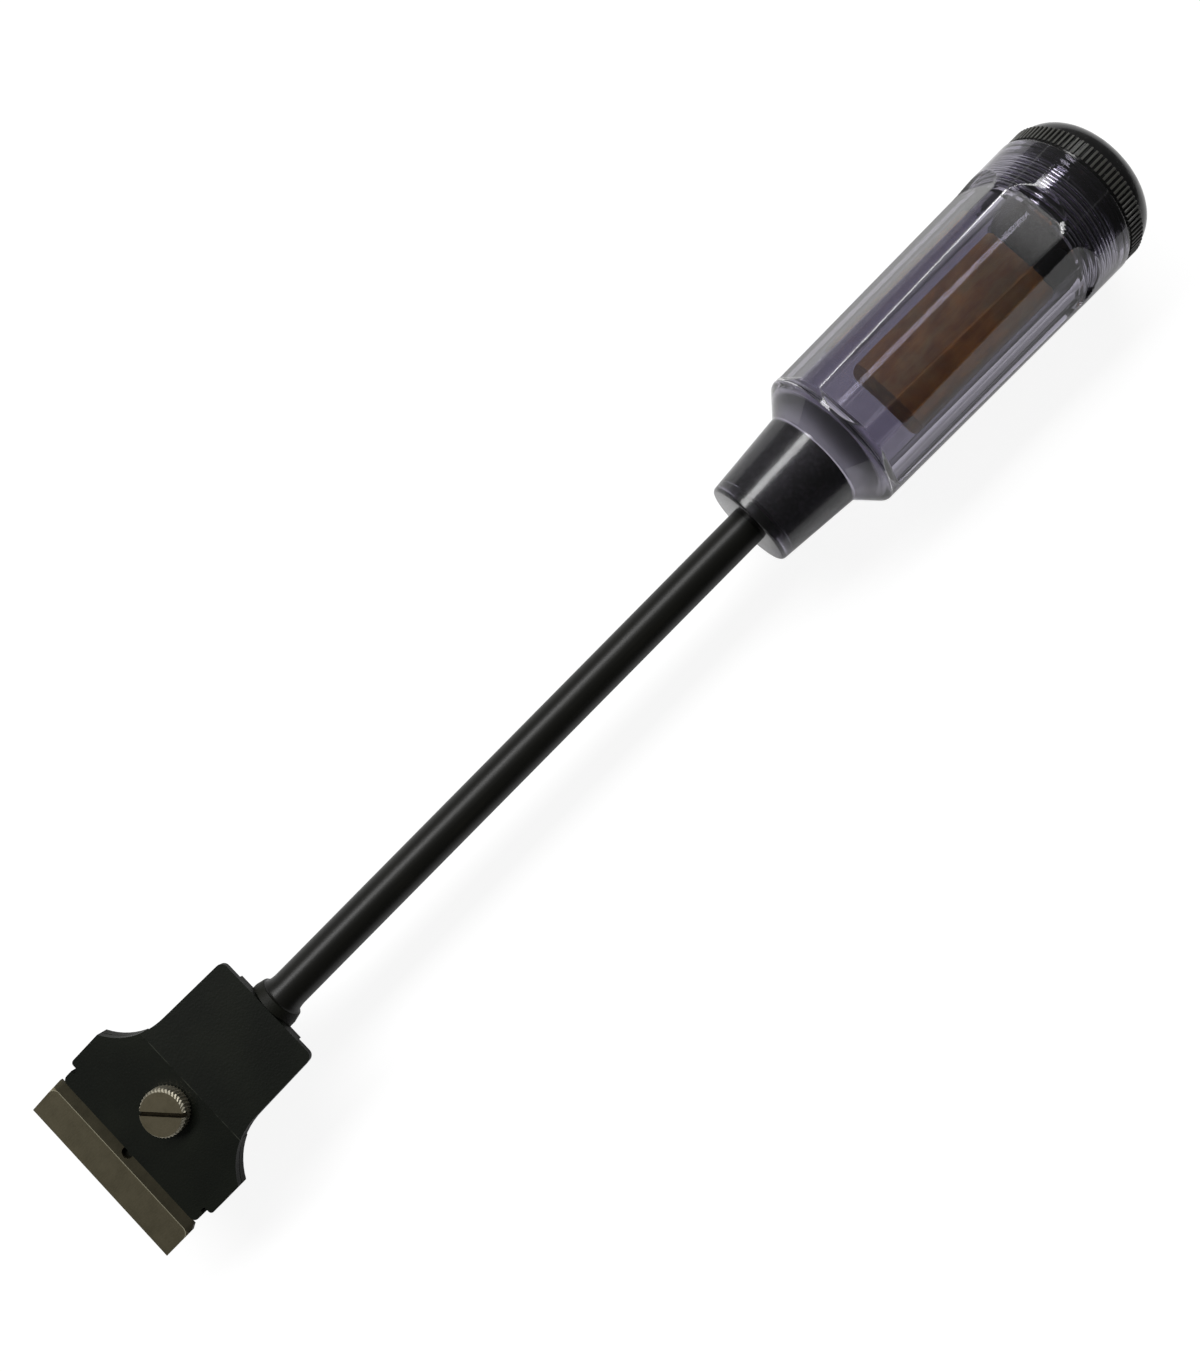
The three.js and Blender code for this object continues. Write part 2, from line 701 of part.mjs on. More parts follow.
// The wrap's section, drawn in from its outside by an inset.
function wrapSection(inset) {
  const half = wrapWidth / 2 - wrapFoldRadius;
  const lowZ = wrapBottom + wrapFoldRadius;
  const highZ = wrapTop - wrapFoldRadius;
  const radius = wrapFoldRadius - inset;
  const fold = (y, z, from) => arc(y, z, radius, radius, from, from + quarterTurn);
  return [
    ...fold(half, highZ, 0),
    ...fold(-half, highZ, quarterTurn),
    ...fold(-half, lowZ, 2 * quarterTurn),
    ...fold(half, lowZ, 3 * quarterTurn),
  ];
}

function makeBladeWrap() {
  const outside = barAlongX(wrapSection(0), wrapX, wrapEndX);
  const inside = barAlongX(wrapSection(wrapWall), wrapX + wrapWall, wrapEndX - wrapWall);
  const mouth = box(wrapEndX - 2 * wrapWall, wrapEndX + cutOverrun, wrapWidth - 2 * wrapFoldRadius,
    wrapTop - wrapWall - wrapMouthHeight, wrapTop - wrapWall);
  return outside.subtract(inside).subtract(mouth);
}

// Colours and surfaces
const blackSteel = { color: 0x1c1d1b, roughness: 0.62, metalness: 0.35 };
const bladeSteel = { color: 0x5c5648, roughness: 0.42, metalness: 0.85 };
const screwSteel = { color: 0x6e6754, roughness: 0.35, metalness: 0.9 };
const shaftSteel = { color: 0x1b1b19, roughness: 0.45, metalness: 0.4 };
const clearPlastic = { color: 0x8d8a9c, roughness: 0.08, metalness: 0, transparent: true, opacity: 0.35 };
const blackPlastic = { color: 0x121212, roughness: 0.25, metalness: 0 };
const blackRubber = { color: 0x0d0d0d, roughness: 0.85, metalness: 0 };
const waxedPaper = { color: 0x6b4a2c, roughness: 0.7, metalness: 0 };

function piece(name, body, look) {
  const geometry = geometryOf(body);
  geometry.computeVertexNormals();
  const mesh = new THREE.Mesh(geometry, new THREE.MeshStandardMaterial(look));
  mesh.name = name;
  return mesh;
}

const tool = new THREE.Group();
tool.position.set(-middleX, 0, axisHeight);

// The blade and the screw stand square to the front of the head, which is turned down at the bend.
const headFront = new THREE.Group();
headFront.position.set(0, 0, plateMiddle);
headFront.rotation.y = -headBendAngle;

const blade = piece('blade', makeBlade(), bladeSteel);
blade.position.set(bladeEdgeX, 0, bladeBottom - plateMiddle);

const thumbscrew = piece('thumbscrew', makeThumbscrew(), screwSteel);
thumbscrew.position.set(-screwForward, 0, plateTop - plateMiddle + slidingGap);
headFront.add(blade, thumbscrew);

tool.add(
  headFront,
  piece('lower_jaw', makeLowerJaw(), blackSteel),
  piece('clamp_plate', makeClampPlate(), blackSteel),
  piece('shaft', makeShaft(), shaftSteel),
  piece('neck_core', makeNeckCore(), blackPlastic),
  piece('handle', makeHandle(), clearPlastic),
  piece('cap', makeCap(), blackPlastic),
  piece('cap_seal', makeCapSeal(), blackRubber),
  piece('blade_wrap', makeBladeWrap(), waxedPaper),
);

for (let i = 0; i < spareBladeCount; i += 1) {
  const spare = piece(`spare_blade_${i + 1}`, makeBlade(), bladeSteel);
  spare.rotation.z = quarterTurn;
  spare.position.set(
    (wrapX + wrapEndX) / 2,
    -bladeDepth / 2,
    wrapBottom + wrapWall + stackLift + i * (bladeThickness + slidingGap),
  );
  tool.add(spare);
}

export default tool;
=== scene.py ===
import math

import bmesh
import bpy
from mathutils import Matrix, Vector, noise


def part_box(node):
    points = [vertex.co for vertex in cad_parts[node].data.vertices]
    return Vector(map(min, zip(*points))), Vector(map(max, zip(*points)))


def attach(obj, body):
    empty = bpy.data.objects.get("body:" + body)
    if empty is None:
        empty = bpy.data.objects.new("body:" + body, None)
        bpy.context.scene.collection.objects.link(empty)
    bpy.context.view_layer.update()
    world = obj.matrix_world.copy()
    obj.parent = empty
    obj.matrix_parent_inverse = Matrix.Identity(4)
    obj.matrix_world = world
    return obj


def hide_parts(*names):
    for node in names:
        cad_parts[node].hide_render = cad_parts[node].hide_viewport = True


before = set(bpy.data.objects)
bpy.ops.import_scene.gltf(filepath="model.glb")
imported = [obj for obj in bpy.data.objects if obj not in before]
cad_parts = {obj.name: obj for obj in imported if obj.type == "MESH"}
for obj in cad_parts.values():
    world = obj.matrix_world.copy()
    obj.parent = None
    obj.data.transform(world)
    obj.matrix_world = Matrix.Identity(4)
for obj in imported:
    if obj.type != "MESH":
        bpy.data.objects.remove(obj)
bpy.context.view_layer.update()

# View and camera: the tool lies along X and the camera looks down on it from 25 cm above the shaft,
# turned so that the handle points up to the right and rolled a few degrees about the shaft.
bpy.context.scene.view_settings.view_transform = "Standard"
cap_low, cap_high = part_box("cap")
axis_height = (cap_low.z + cap_high.z) / 2
focal_pixels = 1250
photo_height_pixels = 1372
camera_roll = math.radians(4.9)
camera_turn = math.radians(45.34)
camera_offset = Vector((-0.00015, -0.00156, 0.25))
nearest_seen = 0.01

camera = bpy.data.objects.new("camera", bpy.data.cameras.new("camera"))
bpy.context.scene.collection.objects.link(camera)
bpy.context.scene.camera = camera
camera.data.sensor_width = 36
camera.data.lens = camera.data.sensor_width * focal_pixels / photo_height_pixels
camera.data.clip_start = nearest_seen
camera.matrix_world = (
    Matrix.Translation((0, 0, axis_height))
    @ Matrix.Rotation(camera_roll, 4, "X")
    @ Matrix.Translation(camera_offset)
    @ Matrix.Rotation(-camera_turn, 4, "Z")
)

# Lower jaw: a forged steel half of the head, with a pocket for the blade, a boss for the screw and a
# barrel for the shaft. It is blackened in an oxide bath, so it is a matt brownish black all over.
jaw_edge_width = 0.00015
head_sharp_angle = math.radians(32)
weld_distance = 0.000001
coplanar_angle = math.radians(0.5)
black_oxide = (14, 15, 10)
black_oxide_worn = (24, 25, 17)
oxide_gloss = 0.13
oxide_wear_range = (0.45, 0.95)
oxide_wear_most = 0.5
oxide_roughness_swing = 0.08
jaw_roughness = 0.55
oxide_patch_size = 0.012
oxide_grain_size = 0.0004
oxide_grain_depth = 0.00004


def linear(colour):
    """A colour given as 0 to 255 for the eye, as the light levels that a shader takes."""
    levels = []
    for part in colour:
        share = part / 255
        levels.append(share / 12.92 if share <= 0.04045 else ((share + 0.055) / 1.055) ** 2.4)
    return levels + [1]


class Signal:
    """One output of a shader node, which joins in sums by adding Math nodes."""

    def __init__(self, network, socket):
        self.network = network
        self.socket = socket

    def math(self, operation, other=0):
        """A Math node on this signal and another signal or number."""
        return self.network.node("ShaderNodeMath", {"operation": operation}, {0: self, 1: other})

    def __add__(self, other):
        return self.math("ADD", other)

    def __sub__(self, other):
        return self.math("SUBTRACT", other)

    def __rsub__(self, other):
        return self * -1 + other

    def __mul__(self, other):
        return self.math("MULTIPLY", other)

    __radd__ = __add__
    __rmul__ = __mul__


class Network:
    """The shader nodes of a material, or of the room's light."""

    def __init__(self, tree):
        self.tree = tree

    def node(self, kind, settings={}, values={}, output=0):
        """Any node, with its settings, the values or signals of its sockets, and the output taken."""
        made = self.tree.nodes.new(kind)
        for name, value in settings.items():
            setattr(made, name, value)
        for name, value in values.items():
            self.feed(made.inputs[name], value)
        return Signal(self, made.outputs[output])

    def feed(self, socket, value):
        if isinstance(value, Signal):
            self.tree.links.new(value.socket, socket)
        else:
            socket.default_value = value


class Finish(Network):
    """A material made of nodes, which reads its place from the piece's own coordinates."""

    def __init__(self, name, **values):
        self.material = bpy.data.materials.new(name)
        self.material.use_nodes = True
        super().__init__(self.material.node_tree)
        self.shader = self.tree.nodes["Principled BSDF"]
        self.place = self.node("ShaderNodeTexCoord", output="Object")
        for socket, value in values.items():
            self.set(socket.replace("_", " ").title().replace("Ior", "IOR"), value)

    def set(self, name, value):
        """Gives one of the material's own sockets a value or a signal."""
        self.feed(self.shader.inputs[name], value)

    def mapped(self, place=None, scale=(1, 1, 1), turn=(0, 0, 0), shift=(0, 0, 0)):
        """A place, or the piece's own one, first stretched, then turned and then shifted."""
        values = {"Vector": place or self.place, "Scale": scale, "Rotation": turn, "Location": shift}
        return self.node("ShaderNodeMapping", {}, values)

    def part(self, place, letter):
        """The X, Y or Z of a place."""
        return self.node("ShaderNodeSeparateXYZ", {}, {"Vector": place}, output=letter)

    def distance(self, place, kept=(1, 1, 1)):
        """How far a place is from the origin, counted along the axes that are kept."""
        flattened = self.node("ShaderNodeVectorMath", {"operation": "MULTIPLY"}, {0: place, 1: kept})
        return self.node("ShaderNodeVectorMath", {"operation": "LENGTH"}, {0: flattened}, output="Value")

    def cloud(self, size, detail=3, place=None):
        """Soft noise from 0 to 1 whose lumps are about this many metres across."""
        values = {"Vector": place or self.place, "Scale": 1 / size, "Detail": detail}
        return self.node("ShaderNodeTexNoise", {}, values)

    def between(self, value, low, high):
        """0 where the value is under low, 1 where it is over high."""
        values = {"Value": value, "From Min": low, "From Max": high}
        return self.node("ShaderNodeMapRange", {"interpolation_type": "SMOOTHSTEP"}, values)

    def step(self, value, middle, half_width):
        """0 on the low side of the middle and 1 on its high side, with a short soft step between."""
        return self.between(value, middle - half_width, middle + half_width)

    def mix(self, share, first, second):
        """A colour that goes from the first to the second as the share goes from 0 to 1."""
        colours = {0: share, 6: first, 7: second}
        return self.node("ShaderNodeMix", {"data_type": "RGBA"}, colours, output=2)

    def bump(self, height, depth):
        """Makes the surface look as if it rose by the depth where the height is 1."""
        values = {"Height": height, "Strength": 1, "Distance": depth}
        self.set("Normal", self.node("ShaderNodeBump", {}, values))


def merged_copy(node):
    """A bmesh of a CAD node's shape, with its triangles joined into whole faces."""
    form = bmesh.new()
    form.from_mesh(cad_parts[node].data)
    bmesh.ops.remove_doubles(form, verts=form.verts, dist=weld_distance)
    bmesh.ops.dissolve_limit(form, angle_limit=coplanar_angle, verts=form.verts, edges=form.edges)
    return form


def ease_edges(form, edge_width, sharp_angle, segments=2):
    """Rounds every edge that is sharper than the angle, and returns the new faces."""
    sharp = [edge for edge in form.edges if edge.is_manifold and edge.calc_face_angle() > sharp_angle]
    eased = bmesh.ops.bevel(form, geom=sharp, offset=edge_width, segments=segments, affect="EDGES",
                            profile=0.5, material=-1, clamp_overlap=True)
    return eased["faces"]


def weigh_normals(made):
    """Keeps large flat faces flat where they meet small rounded ones."""
    weighted = made.modifiers.new("weighted_normals", "WEIGHTED_NORMAL")
    weighted.keep_sharp = True


def piece(name, form, sharp_angle):
    """Makes an object of a finished bmesh, smooth apart from edges sharper than the angle."""
    mesh = bpy.data.meshes.new(name)
    form.to_mesh(mesh)
    form.free()
    mesh.shade_smooth()
    mesh.set_sharp_from_angle(angle=sharp_angle)
    made = bpy.data.objects.new(name, mesh)
    bpy.context.scene.collection.objects.link(made)
    return made


def dress(made, finish, body, slot, *nodes):
    """Gives a piece its material, the body that it moves with and the CAD nodes that it stands for."""
    made.data.materials.append(finish.material)
    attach(made, body)
    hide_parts(*nodes)


def blackened_steel(name, dark, worn, roughness):
    """Black oxide on steel, in soft patches, with a fine grain that is rubbed a little lighter."""
    finish = Finish(name, specular_ior_level=oxide_gloss)
    patches = finish.cloud(oxide_patch_size)
    grain = finish.cloud(oxide_grain_size, detail=2)
    worn_share = oxide_wear_most * finish.between(patches + grain * 0.3, *oxide_wear_range)
    finish.tint = finish.mix(worn_share, linear(dark), linear(worn))
    finish.set("Base Color", finish.tint)
    finish.set("Roughness", roughness + oxide_roughness_swing * (patches - 0.5))
    finish.bump(grain, oxide_grain_depth)
    return finish


jaw_form = merged_copy("lower_jaw")
ease_edges(jaw_form, jaw_edge_width, head_sharp_angle)
lower_jaw = piece("lower_jaw_steel", jaw_form, head_sharp_angle)
weigh_normals(lower_jaw)
jaw_finish = blackened_steel("jaw_black_oxide", black_oxide, black_oxide_worn, jaw_roughness)
dress(lower_jaw, jaw_finish, "frame", "blackened_steel", "lower_jaw")

# Shaft: a ground round steel bar, blackened like the head but smoother, with a short flare against
# the barrel. Its thin front end is pressed into the barrel. The key at its rear end is hidden in the
# core, so it is left to the solids.
shaft_radius = 0.004
shaft_flare_radius = 0.00475
shaft_flare_length = 0.0026
shaft_spigot_radius = 0.0022
shaft_spigot_length = 0.014
shaft_end_chamfer = 0.0005
shaft_shoulder_gap = 0.00005
shaft_columns = 96
flare_steps = 8
turned_sharp_angle = math.radians(30)
shaft_black = (14, 14, 11)
shaft_worn = (24, 23, 18)
shaft_gloss = 0.22
shaft_patch_size = 0.02
drawn_line_scale = (25, 1500, 1500)
drawn_line_depth = 0.00001
shaft_wear_range = (0.6, 0.9)
shaft_roughness = 0.36
shaft_roughness_swing = 0.12


def turned_form(profile, columns):
    """Spins a profile of (x, radius) points about the tool's axis; it starts and ends on the axis."""
    form = bmesh.new()
    points = [form.verts.new((x, 0, radius)) for x, radius in profile]
    for first, second in zip(points, points[1:]):
        form.edges.new((first, second))
    bmesh.ops.spin(form, geom=form.verts[:] + form.edges[:], cent=(0, 0, 0), axis=(1, 0, 0),
                   angle=math.tau, steps=columns, use_merge=True)
    bmesh.ops.remove_doubles(form, verts=form.verts, dist=weld_distance / 10)
    bmesh.ops.recalc_face_normals(form, faces=form.faces)
    return form


def corner(x, radius, size, start, end, steps=5):
    """Profile points of a rounded corner: a quarter or less of a circle, from one angle to another."""
    turns = [math.radians(start + (end - start) * step / steps) for step in range(steps + 1)]
    return [(x + size * math.cos(turn), radius + size * math.sin(turn)) for turn in turns]


spigot_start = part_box("shaft")[0].x
shaft_start = spigot_start + shaft_spigot_length + shaft_shoulder_gap
shaft_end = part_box("shaft")[1].x
flare_turns = [math.radians(90 * step / flare_steps) for step in range(flare_steps + 1)]
flare = [
    (shaft_start + shaft_flare_length * (1 - math.cos(turn)),
     shaft_flare_radius - (shaft_flare_radius - shaft_radius) * math.sin(turn))
    for turn in flare_turns
]
shaft_profile = [
    (spigot_start, 0),
    (spigot_start, shaft_spigot_radius),
    (shaft_start, shaft_spigot_radius),
    *flare,
    (shaft_end - shaft_end_chamfer, shaft_radius),
    (shaft_end, shaft_radius - shaft_end_chamfer),
    (shaft_end, 0),
]
shaft_form = turned_form(shaft_profile, shaft_columns)
bmesh.ops.translate(shaft_form, vec=(0, 0, axis_height), verts=shaft_form.verts)

shaft_finish = Finish("shaft_black_oxide", specular_ior_level=shaft_gloss)
drawn_lines = shaft_finish.cloud(1, detail=4, place=shaft_finish.mapped(scale=drawn_line_scale))
shaft_patches = shaft_finish.cloud(shaft_patch_size, detail=4)
shaft_share = shaft_finish.between(shaft_patches * 0.7 + drawn_lines * 0.5, *shaft_wear_range)
shaft_finish.set("Base Color", shaft_finish.mix(shaft_share, linear(shaft_black), linear(shaft_worn)))
shaft_finish.set("Roughness", shaft_roughness + shaft_roughness_swing * (drawn_lines - 0.5))
shaft_finish.bump(drawn_lines, drawn_line_depth)
dress(piece("shaft_steel", shaft_form, turned_sharp_angle), shaft_finish, "frame", "shaft_steel", "shaft")

# Blade: a 1 mm strip of hardened steel, ground to an edge on its upper side. The bevel has a fine grain
# from the grinding wheel, its upper rim is a painted highlight in pale steel, and the strip behind it
# is darker, as it came from the furnace.
bevel_depth = 0.0074
bevel_angle = math.radians(6.8)
bevel_line_half_width = 0.0001
along_bevel = 0.9995
blade_edge_width = 0.00006
blade_edge_angle = math.radians(50)
blade_rim_width = 0.00017
blade_rim_angle = math.radians(20)
blade_sharp_angle = math.radians(2)
wheel_mark_scale = (900, 3800, 900)
wheel_mark_depth = 0.00001
blade_stain_size = 0.004
ground_range = (0.4, 0.8)
furnace_stain_share = 0.5
blade_roughness = 0.42
blade_roughness_swing = 0.12
furnace_roughness = 0.1
rim_speck_size = 0.0005
rim_metallic = 0.3
rim_roughness = 0.45
rim_roughness_swing = 0.2
ground_steel = (126, 119, 97)
ground_steel_dull = (108, 102, 82)
furnace_steel = (50, 48, 39)
blade_rim_highlight_steel = (146, 142, 122)
blade_rim_highlight_steel_dull = (120, 116, 97)
blade_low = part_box("blade")[0]
head_turn = math.radians(-8)

blade_finish = Finish("blade_ground_steel", metallic=1)
from_edge = blade_finish.part(blade_finish.mapped(turn=(0, -head_turn, 0)), "X")
edge_x = (Matrix.Rotation(-head_turn, 3, "Y") @ Vector((blade_low.x, 0, blade_low.z))).x
wheel_marks = blade_finish.cloud(1, detail=5, place=blade_finish.mapped(scale=wheel_mark_scale))
stains = blade_finish.cloud(blade_stain_size, detail=5)
behind_bevel = blade_finish.step(from_edge, edge_x + bevel_depth, bevel_line_half_width)
ground_share = blade_finish.between(wheel_marks * 0.5 + stains * 0.6, *ground_range)
ground = blade_finish.mix(ground_share, linear(ground_steel), linear(ground_steel_dull))
furnace_share = furnace_stain_share * stains
furnace = blade_finish.mix(furnace_share, linear(furnace_steel), linear(ground_steel_dull))
blade_finish.set("Base Color", blade_finish.mix(behind_bevel, ground, furnace))
blade_finish.set(
    "Roughness",
    blade_roughness + blade_roughness_swing * (wheel_marks - 0.5) + furnace_roughness * behind_bevel,
)
blade_finish.bump(wheel_marks, wheel_mark_depth)

# The rim's pale steel is a painted highlight along the upper arris of the bevel.
blade_rim_highlight_finish = Finish("blade_rim_painted_highlight", metallic=rim_metallic)
rim_specks = blade_rim_highlight_finish.cloud(rim_speck_size, detail=4)
blade_rim_highlight_finish.set("Base Color", blade_rim_highlight_finish.mix(rim_specks, linear(blade_rim_highlight_steel), linear(blade_rim_highlight_steel_dull)))
blade_rim_highlight_finish.set("Roughness", rim_roughness + rim_roughness_swing * (rim_specks - 0.5))

blade_form = merged_copy("blade")
ease_edges(blade_form, blade_edge_width, blade_edge_angle, segments=1)
bevel_normal = Matrix.Rotation(head_turn, 3, "Y") @ Vector((-math.tan(bevel_angle), 0, 1)).normalized()
rim = [
    edge for edge in blade_form.edges
    if edge.is_manifold and edge.calc_face_angle() < blade_rim_angle
    and sum(face.normal.dot(bevel_normal) > along_bevel for face in edge.link_faces) == 1
]
blade_rim_highlight_faces = bmesh.ops.bevel(blade_form, geom=rim, offset=blade_rim_width, segments=1, affect="EDGES",
                           profile=0.5, material=-1, clamp_overlap=True)
for face in blade_rim_highlight_faces["faces"]:
    face.material_index = 1
blade = piece("blade_steel_strip", blade_form, blade_sharp_angle)
weigh_normals(blade)
dress(blade, blade_finish, "blade", "blade_steel", "blade")
blade.data.materials.append(blade_rim_highlight_finish.material)

# Clamp plate: 1.5 mm sheet steel, stamped with ears and wings, bent along one line and blackened with
# the jaw. A painted highlight runs along the bend in spots. The plate lies on the blade's tang and is held
# down by the screw alone.
plate_edge_width = 0.00018
plate_black = (9, 12, 7)
plate_worn = (21, 24, 16)
bend_highlight_grey = (48, 50, 43)
bend_line_half_width = 0.0001
bend_highlight_spot_size = 0.004
bend_highlight_spot_range = (0.4, 0.6)
plate_roughness = 0.5
plate_form = merged_copy("clamp_plate")
ease_edges(plate_form, plate_edge_width, head_sharp_angle)
clamp_plate = piece("clamp_plate_steel", plate_form, head_sharp_angle)
plate_corners = clamp_plate.data.vertices
level_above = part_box("clamp_plate")[1].z - 10 * weld_distance
bend_x = min(vertex.co.x for vertex in plate_corners if vertex.co.z > level_above)
for edge in clamp_plate.data.edges:
    from_bend_line = [abs(plate_corners[end].co.x - bend_x) for end in edge.vertices]
    edge.use_edge_sharp |= max(from_bend_line) < bend_line_half_width
weigh_normals(clamp_plate)

plate_finish = blackened_steel("plate_black_oxide", plate_black, plate_worn, plate_roughness)
from_bend = (plate_finish.part(plate_finish.place, "X") - bend_x).math("ABSOLUTE")
off_bend_line = plate_finish.between(from_bend, bend_line_half_width / 2, bend_line_half_width)
# The pale line on the bend is a painted highlight, broken into spots.
bend_highlight_spots = plate_finish.between(plate_finish.cloud(bend_highlight_spot_size), *bend_highlight_spot_range)
bend_painted_highlight = bend_highlight_spots * (1 - off_bend_line)
plate_finish.set("Base Color", plate_finish.mix(bend_painted_highlight, plate_finish.tint, linear(bend_highlight_grey)))
dress(clamp_plate, plate_finish, "clamp", "blackened_steel", "clamp_plate")

# Clamping screw: turned from bright steel, with a knurled rim that leans with the thread, a chamfered
# face and a sawn slot. The chamfer and knurled rim carry a pale painted highlight, and the slot is painted
# dark inside as painted shade. Its shank goes through the plate into the jaw's boss.
screw_seat = Vector((-0.1190198, 0, 0.0209376))
screw_head_radius = 0.00495
screw_head_height = 0.003
screw_chamfer_width = 0.0005
screw_chamfer_height = 0.0007
screw_shank_radius = 0.0025
screw_shank_length = 0.007
screw_tip_chamfer = 0.0005
screw_under_chamfer = 0.0003
screw_lower_edge = 0.0002
screw_surface_play = 0.00001
screw_knurl_teeth = 40
screw_knurl_depth = 0.00028
screw_knurl_twist = math.radians(9)
screw_slot_width = 0.0009
screw_slot_depth = 0.0011
screw_slot_angle = math.radians(-45)
columns_per_tooth = 6
screw_rows = 8
screw_sharp_angle = math.radians(35)
screw_bright = (132, 124, 102)
screw_dull = (94, 88, 70)
screw_rim_highlight_colour = (214, 208, 188)
screw_slot_painted_shade = (38, 34, 26)
screw_rim_line_half_width = 0.00006
slot_wall_width = 0.00002
slot_shade_low = 0.0003
slot_shade_high = 0.00005
slot_floor_low = 0.0002
slot_floor_high = 0.0001
lathe_ring_frequency = 9000
lathe_ring_depth = 0.000012
screw_stain_size = 0.0025
screw_stain_range = (0.4, 1)
screw_roughness = 0.34
screw_roughness_swing = 0.25
screw_rim_roughness = 0.1

rim_height = screw_head_height - screw_chamfer_height
rim_spacing = (rim_height - screw_lower_edge) / screw_rows
screw_profile = [
    (-screw_shank_length, 0),
    (-screw_shank_length, screw_shank_radius - screw_tip_chamfer),
    (-screw_shank_length + screw_tip_chamfer, screw_shank_radius),
    (0, screw_shank_radius),
    (0, screw_head_radius - screw_under_chamfer),
    *[(screw_lower_edge + rim_spacing * row, screw_head_radius) for row in range(screw_rows + 1)],
    (screw_head_height, screw_head_radius - screw_chamfer_width),
    (screw_head_height, 0),
]
screw_form = turned_form(screw_profile, screw_knurl_teeth * columns_per_tooth)
for vertex in screw_form.verts:
    across = math.hypot(vertex.co.y, vertex.co.z)
    if across < screw_head_radius - screw_surface_play:
        continue
    turn = math.atan2(vertex.co.z, vertex.co.y)
    groove = 0.5 - 0.5 * math.cos(turn * screw_knurl_teeth)
    reach = screw_head_radius - screw_knurl_depth * groove
    leaned = turn + screw_knurl_twist * vertex.co.x / screw_head_height
    vertex.co.y = reach * math.cos(leaned)
    vertex.co.z = reach * math.sin(leaned)
upright = Matrix.Rotation(math.radians(-90), 4, "Y")
bmesh.ops.transform(screw_form, matrix=upright, verts=screw_form.verts)
thumbscrew = piece("clamping_screw", screw_form, screw_sharp_angle)

slot_form = bmesh.new()
bmesh.ops.create_cube(slot_form, size=1)
slot_size = (screw_head_radius * 3, screw_slot_width, screw_slot_depth * 2)
slot_turn = Matrix.Rotation(screw_slot_angle, 3, "Z")
bmesh.ops.scale(slot_form, vec=slot_size, verts=slot_form.verts)
bmesh.ops.rotate(slot_form, cent=(0, 0, 0), matrix=slot_turn, verts=slot_form.verts)
bmesh.ops.translate(slot_form, vec=(0, 0, screw_head_height), verts=slot_form.verts)
slot_saw = piece("slot_saw", slot_form, screw_sharp_angle)


def cut(made, cutter, sharp_angle):
    """Takes the cutter's shape away from a piece, and removes the cutter."""
    boolean = made.modifiers.new("cut", "BOOLEAN")
    boolean.operation = "DIFFERENCE"
    boolean.solver = "EXACT"
    boolean.object = cutter
    depsgraph = bpy.context.evaluated_depsgraph_get()
    result = bpy.data.meshes.new_from_object(made.evaluated_get(depsgraph))
    made.modifiers.clear()
    made.data = result
    result.shade_smooth()
    result.set_sharp_from_angle(angle=sharp_angle)
    bpy.data.objects.remove(cutter)


cut(thumbscrew, slot_saw, screw_sharp_angle)
thumbscrew.data.transform(Matrix.Translation(screw_seat) @ Matrix.Rotation(head_turn, 4, "Y"))

screw_finish = Finish("screw_turned_steel", metallic=1)
face_place = screw_finish.mapped(shift=[-part for part in screw_seat])
lathe_rings = screw_finish.node(
    "ShaderNodeTexNoise", {"noise_dimensions": "1D"},
    {"W": screw_finish.distance(face_place), "Scale": lathe_ring_frequency, "Detail": 3},
)
screw_stains = screw_finish.cloud(screw_stain_size, detail=5)
screw_share = screw_finish.between(screw_stains + 0.2 * lathe_rings, *screw_stain_range)
upright_place = screw_finish.mapped(face_place, turn=(0, -head_turn, 0))
above_seat = screw_finish.part(upright_place, "Z")
from_screw_axis = screw_finish.distance(upright_place, kept=(1, 1, 0))
chamfer_start = screw_head_radius - screw_chamfer_width
# From the chamfer's start outwards, the chamfer and knurled rim get a pale painted highlight.
screw_rim_highlight_share = screw_finish.step(from_screw_axis, chamfer_start, screw_rim_line_half_width)
slot_place = screw_finish.mapped(upright_place, turn=(0, 0, -screw_slot_angle))
across_slot = screw_finish.part(slot_place, "Y").math("ABSOLUTE")
slot_wall = screw_slot_width / 2
slot_floor = screw_head_height - screw_slot_depth
on_face = screw_finish.between(above_seat, screw_head_height - slot_shade_low,
                               screw_head_height - slot_shade_high)
beside_slot = screw_finish.between(across_slot, slot_wall, slot_wall + slot_wall_width)
over_floor = screw_finish.between(above_seat, slot_floor - slot_floor_low, slot_floor - slot_floor_high)
# The slot's inside is painted dark as painted shade.
slot_painted_shade_share = (1 - on_face) * (1 - beside_slot) * over_floor
face_colour = screw_finish.mix(screw_share, linear(screw_bright), linear(screw_dull))
with_screw_rim_highlight = screw_finish.mix(screw_rim_highlight_share, face_colour, linear(screw_rim_highlight_colour))
screw_finish.set("Base Color", screw_finish.mix(slot_painted_shade_share, with_screw_rim_highlight, linear(screw_slot_painted_shade)))
screw_finish.set(
    "Roughness",
    screw_roughness + screw_roughness_swing * (screw_stains - 0.4) + screw_rim_roughness * screw_rim_highlight_share,
)
screw_finish.bump(lathe_rings, lathe_ring_depth)
dress(thumbscrew, screw_finish, "thumbscrew", "screw_steel", "thumbscrew")

# Core: a black moulded plug on the keyed end of the shaft. The handle is moulded round it, and the
# clear neck shows it with nothing between the two.
core_bond = 0.00005
core_front_radius = 0.0072
core_front_length = 0.0104
core_flare_length = 0.004
core_rear_radius = 0.0086
core_corner = 0.0003
core_end_wall = 0.0009
core_lump_size = 0.0008
core_lump_depth = 0.0002
core_patch_size = 0.004
core_wear_range = (0.6, 0.95)
core_roughness = 0.5
core_roughness_swing = 0.3
core_black = (20, 19, 20)
core_grey = (44, 42, 44)
core_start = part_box("neck_core")[0].x
core_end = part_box("neck_core")[1].x
core_flare = core_start + core_front_length

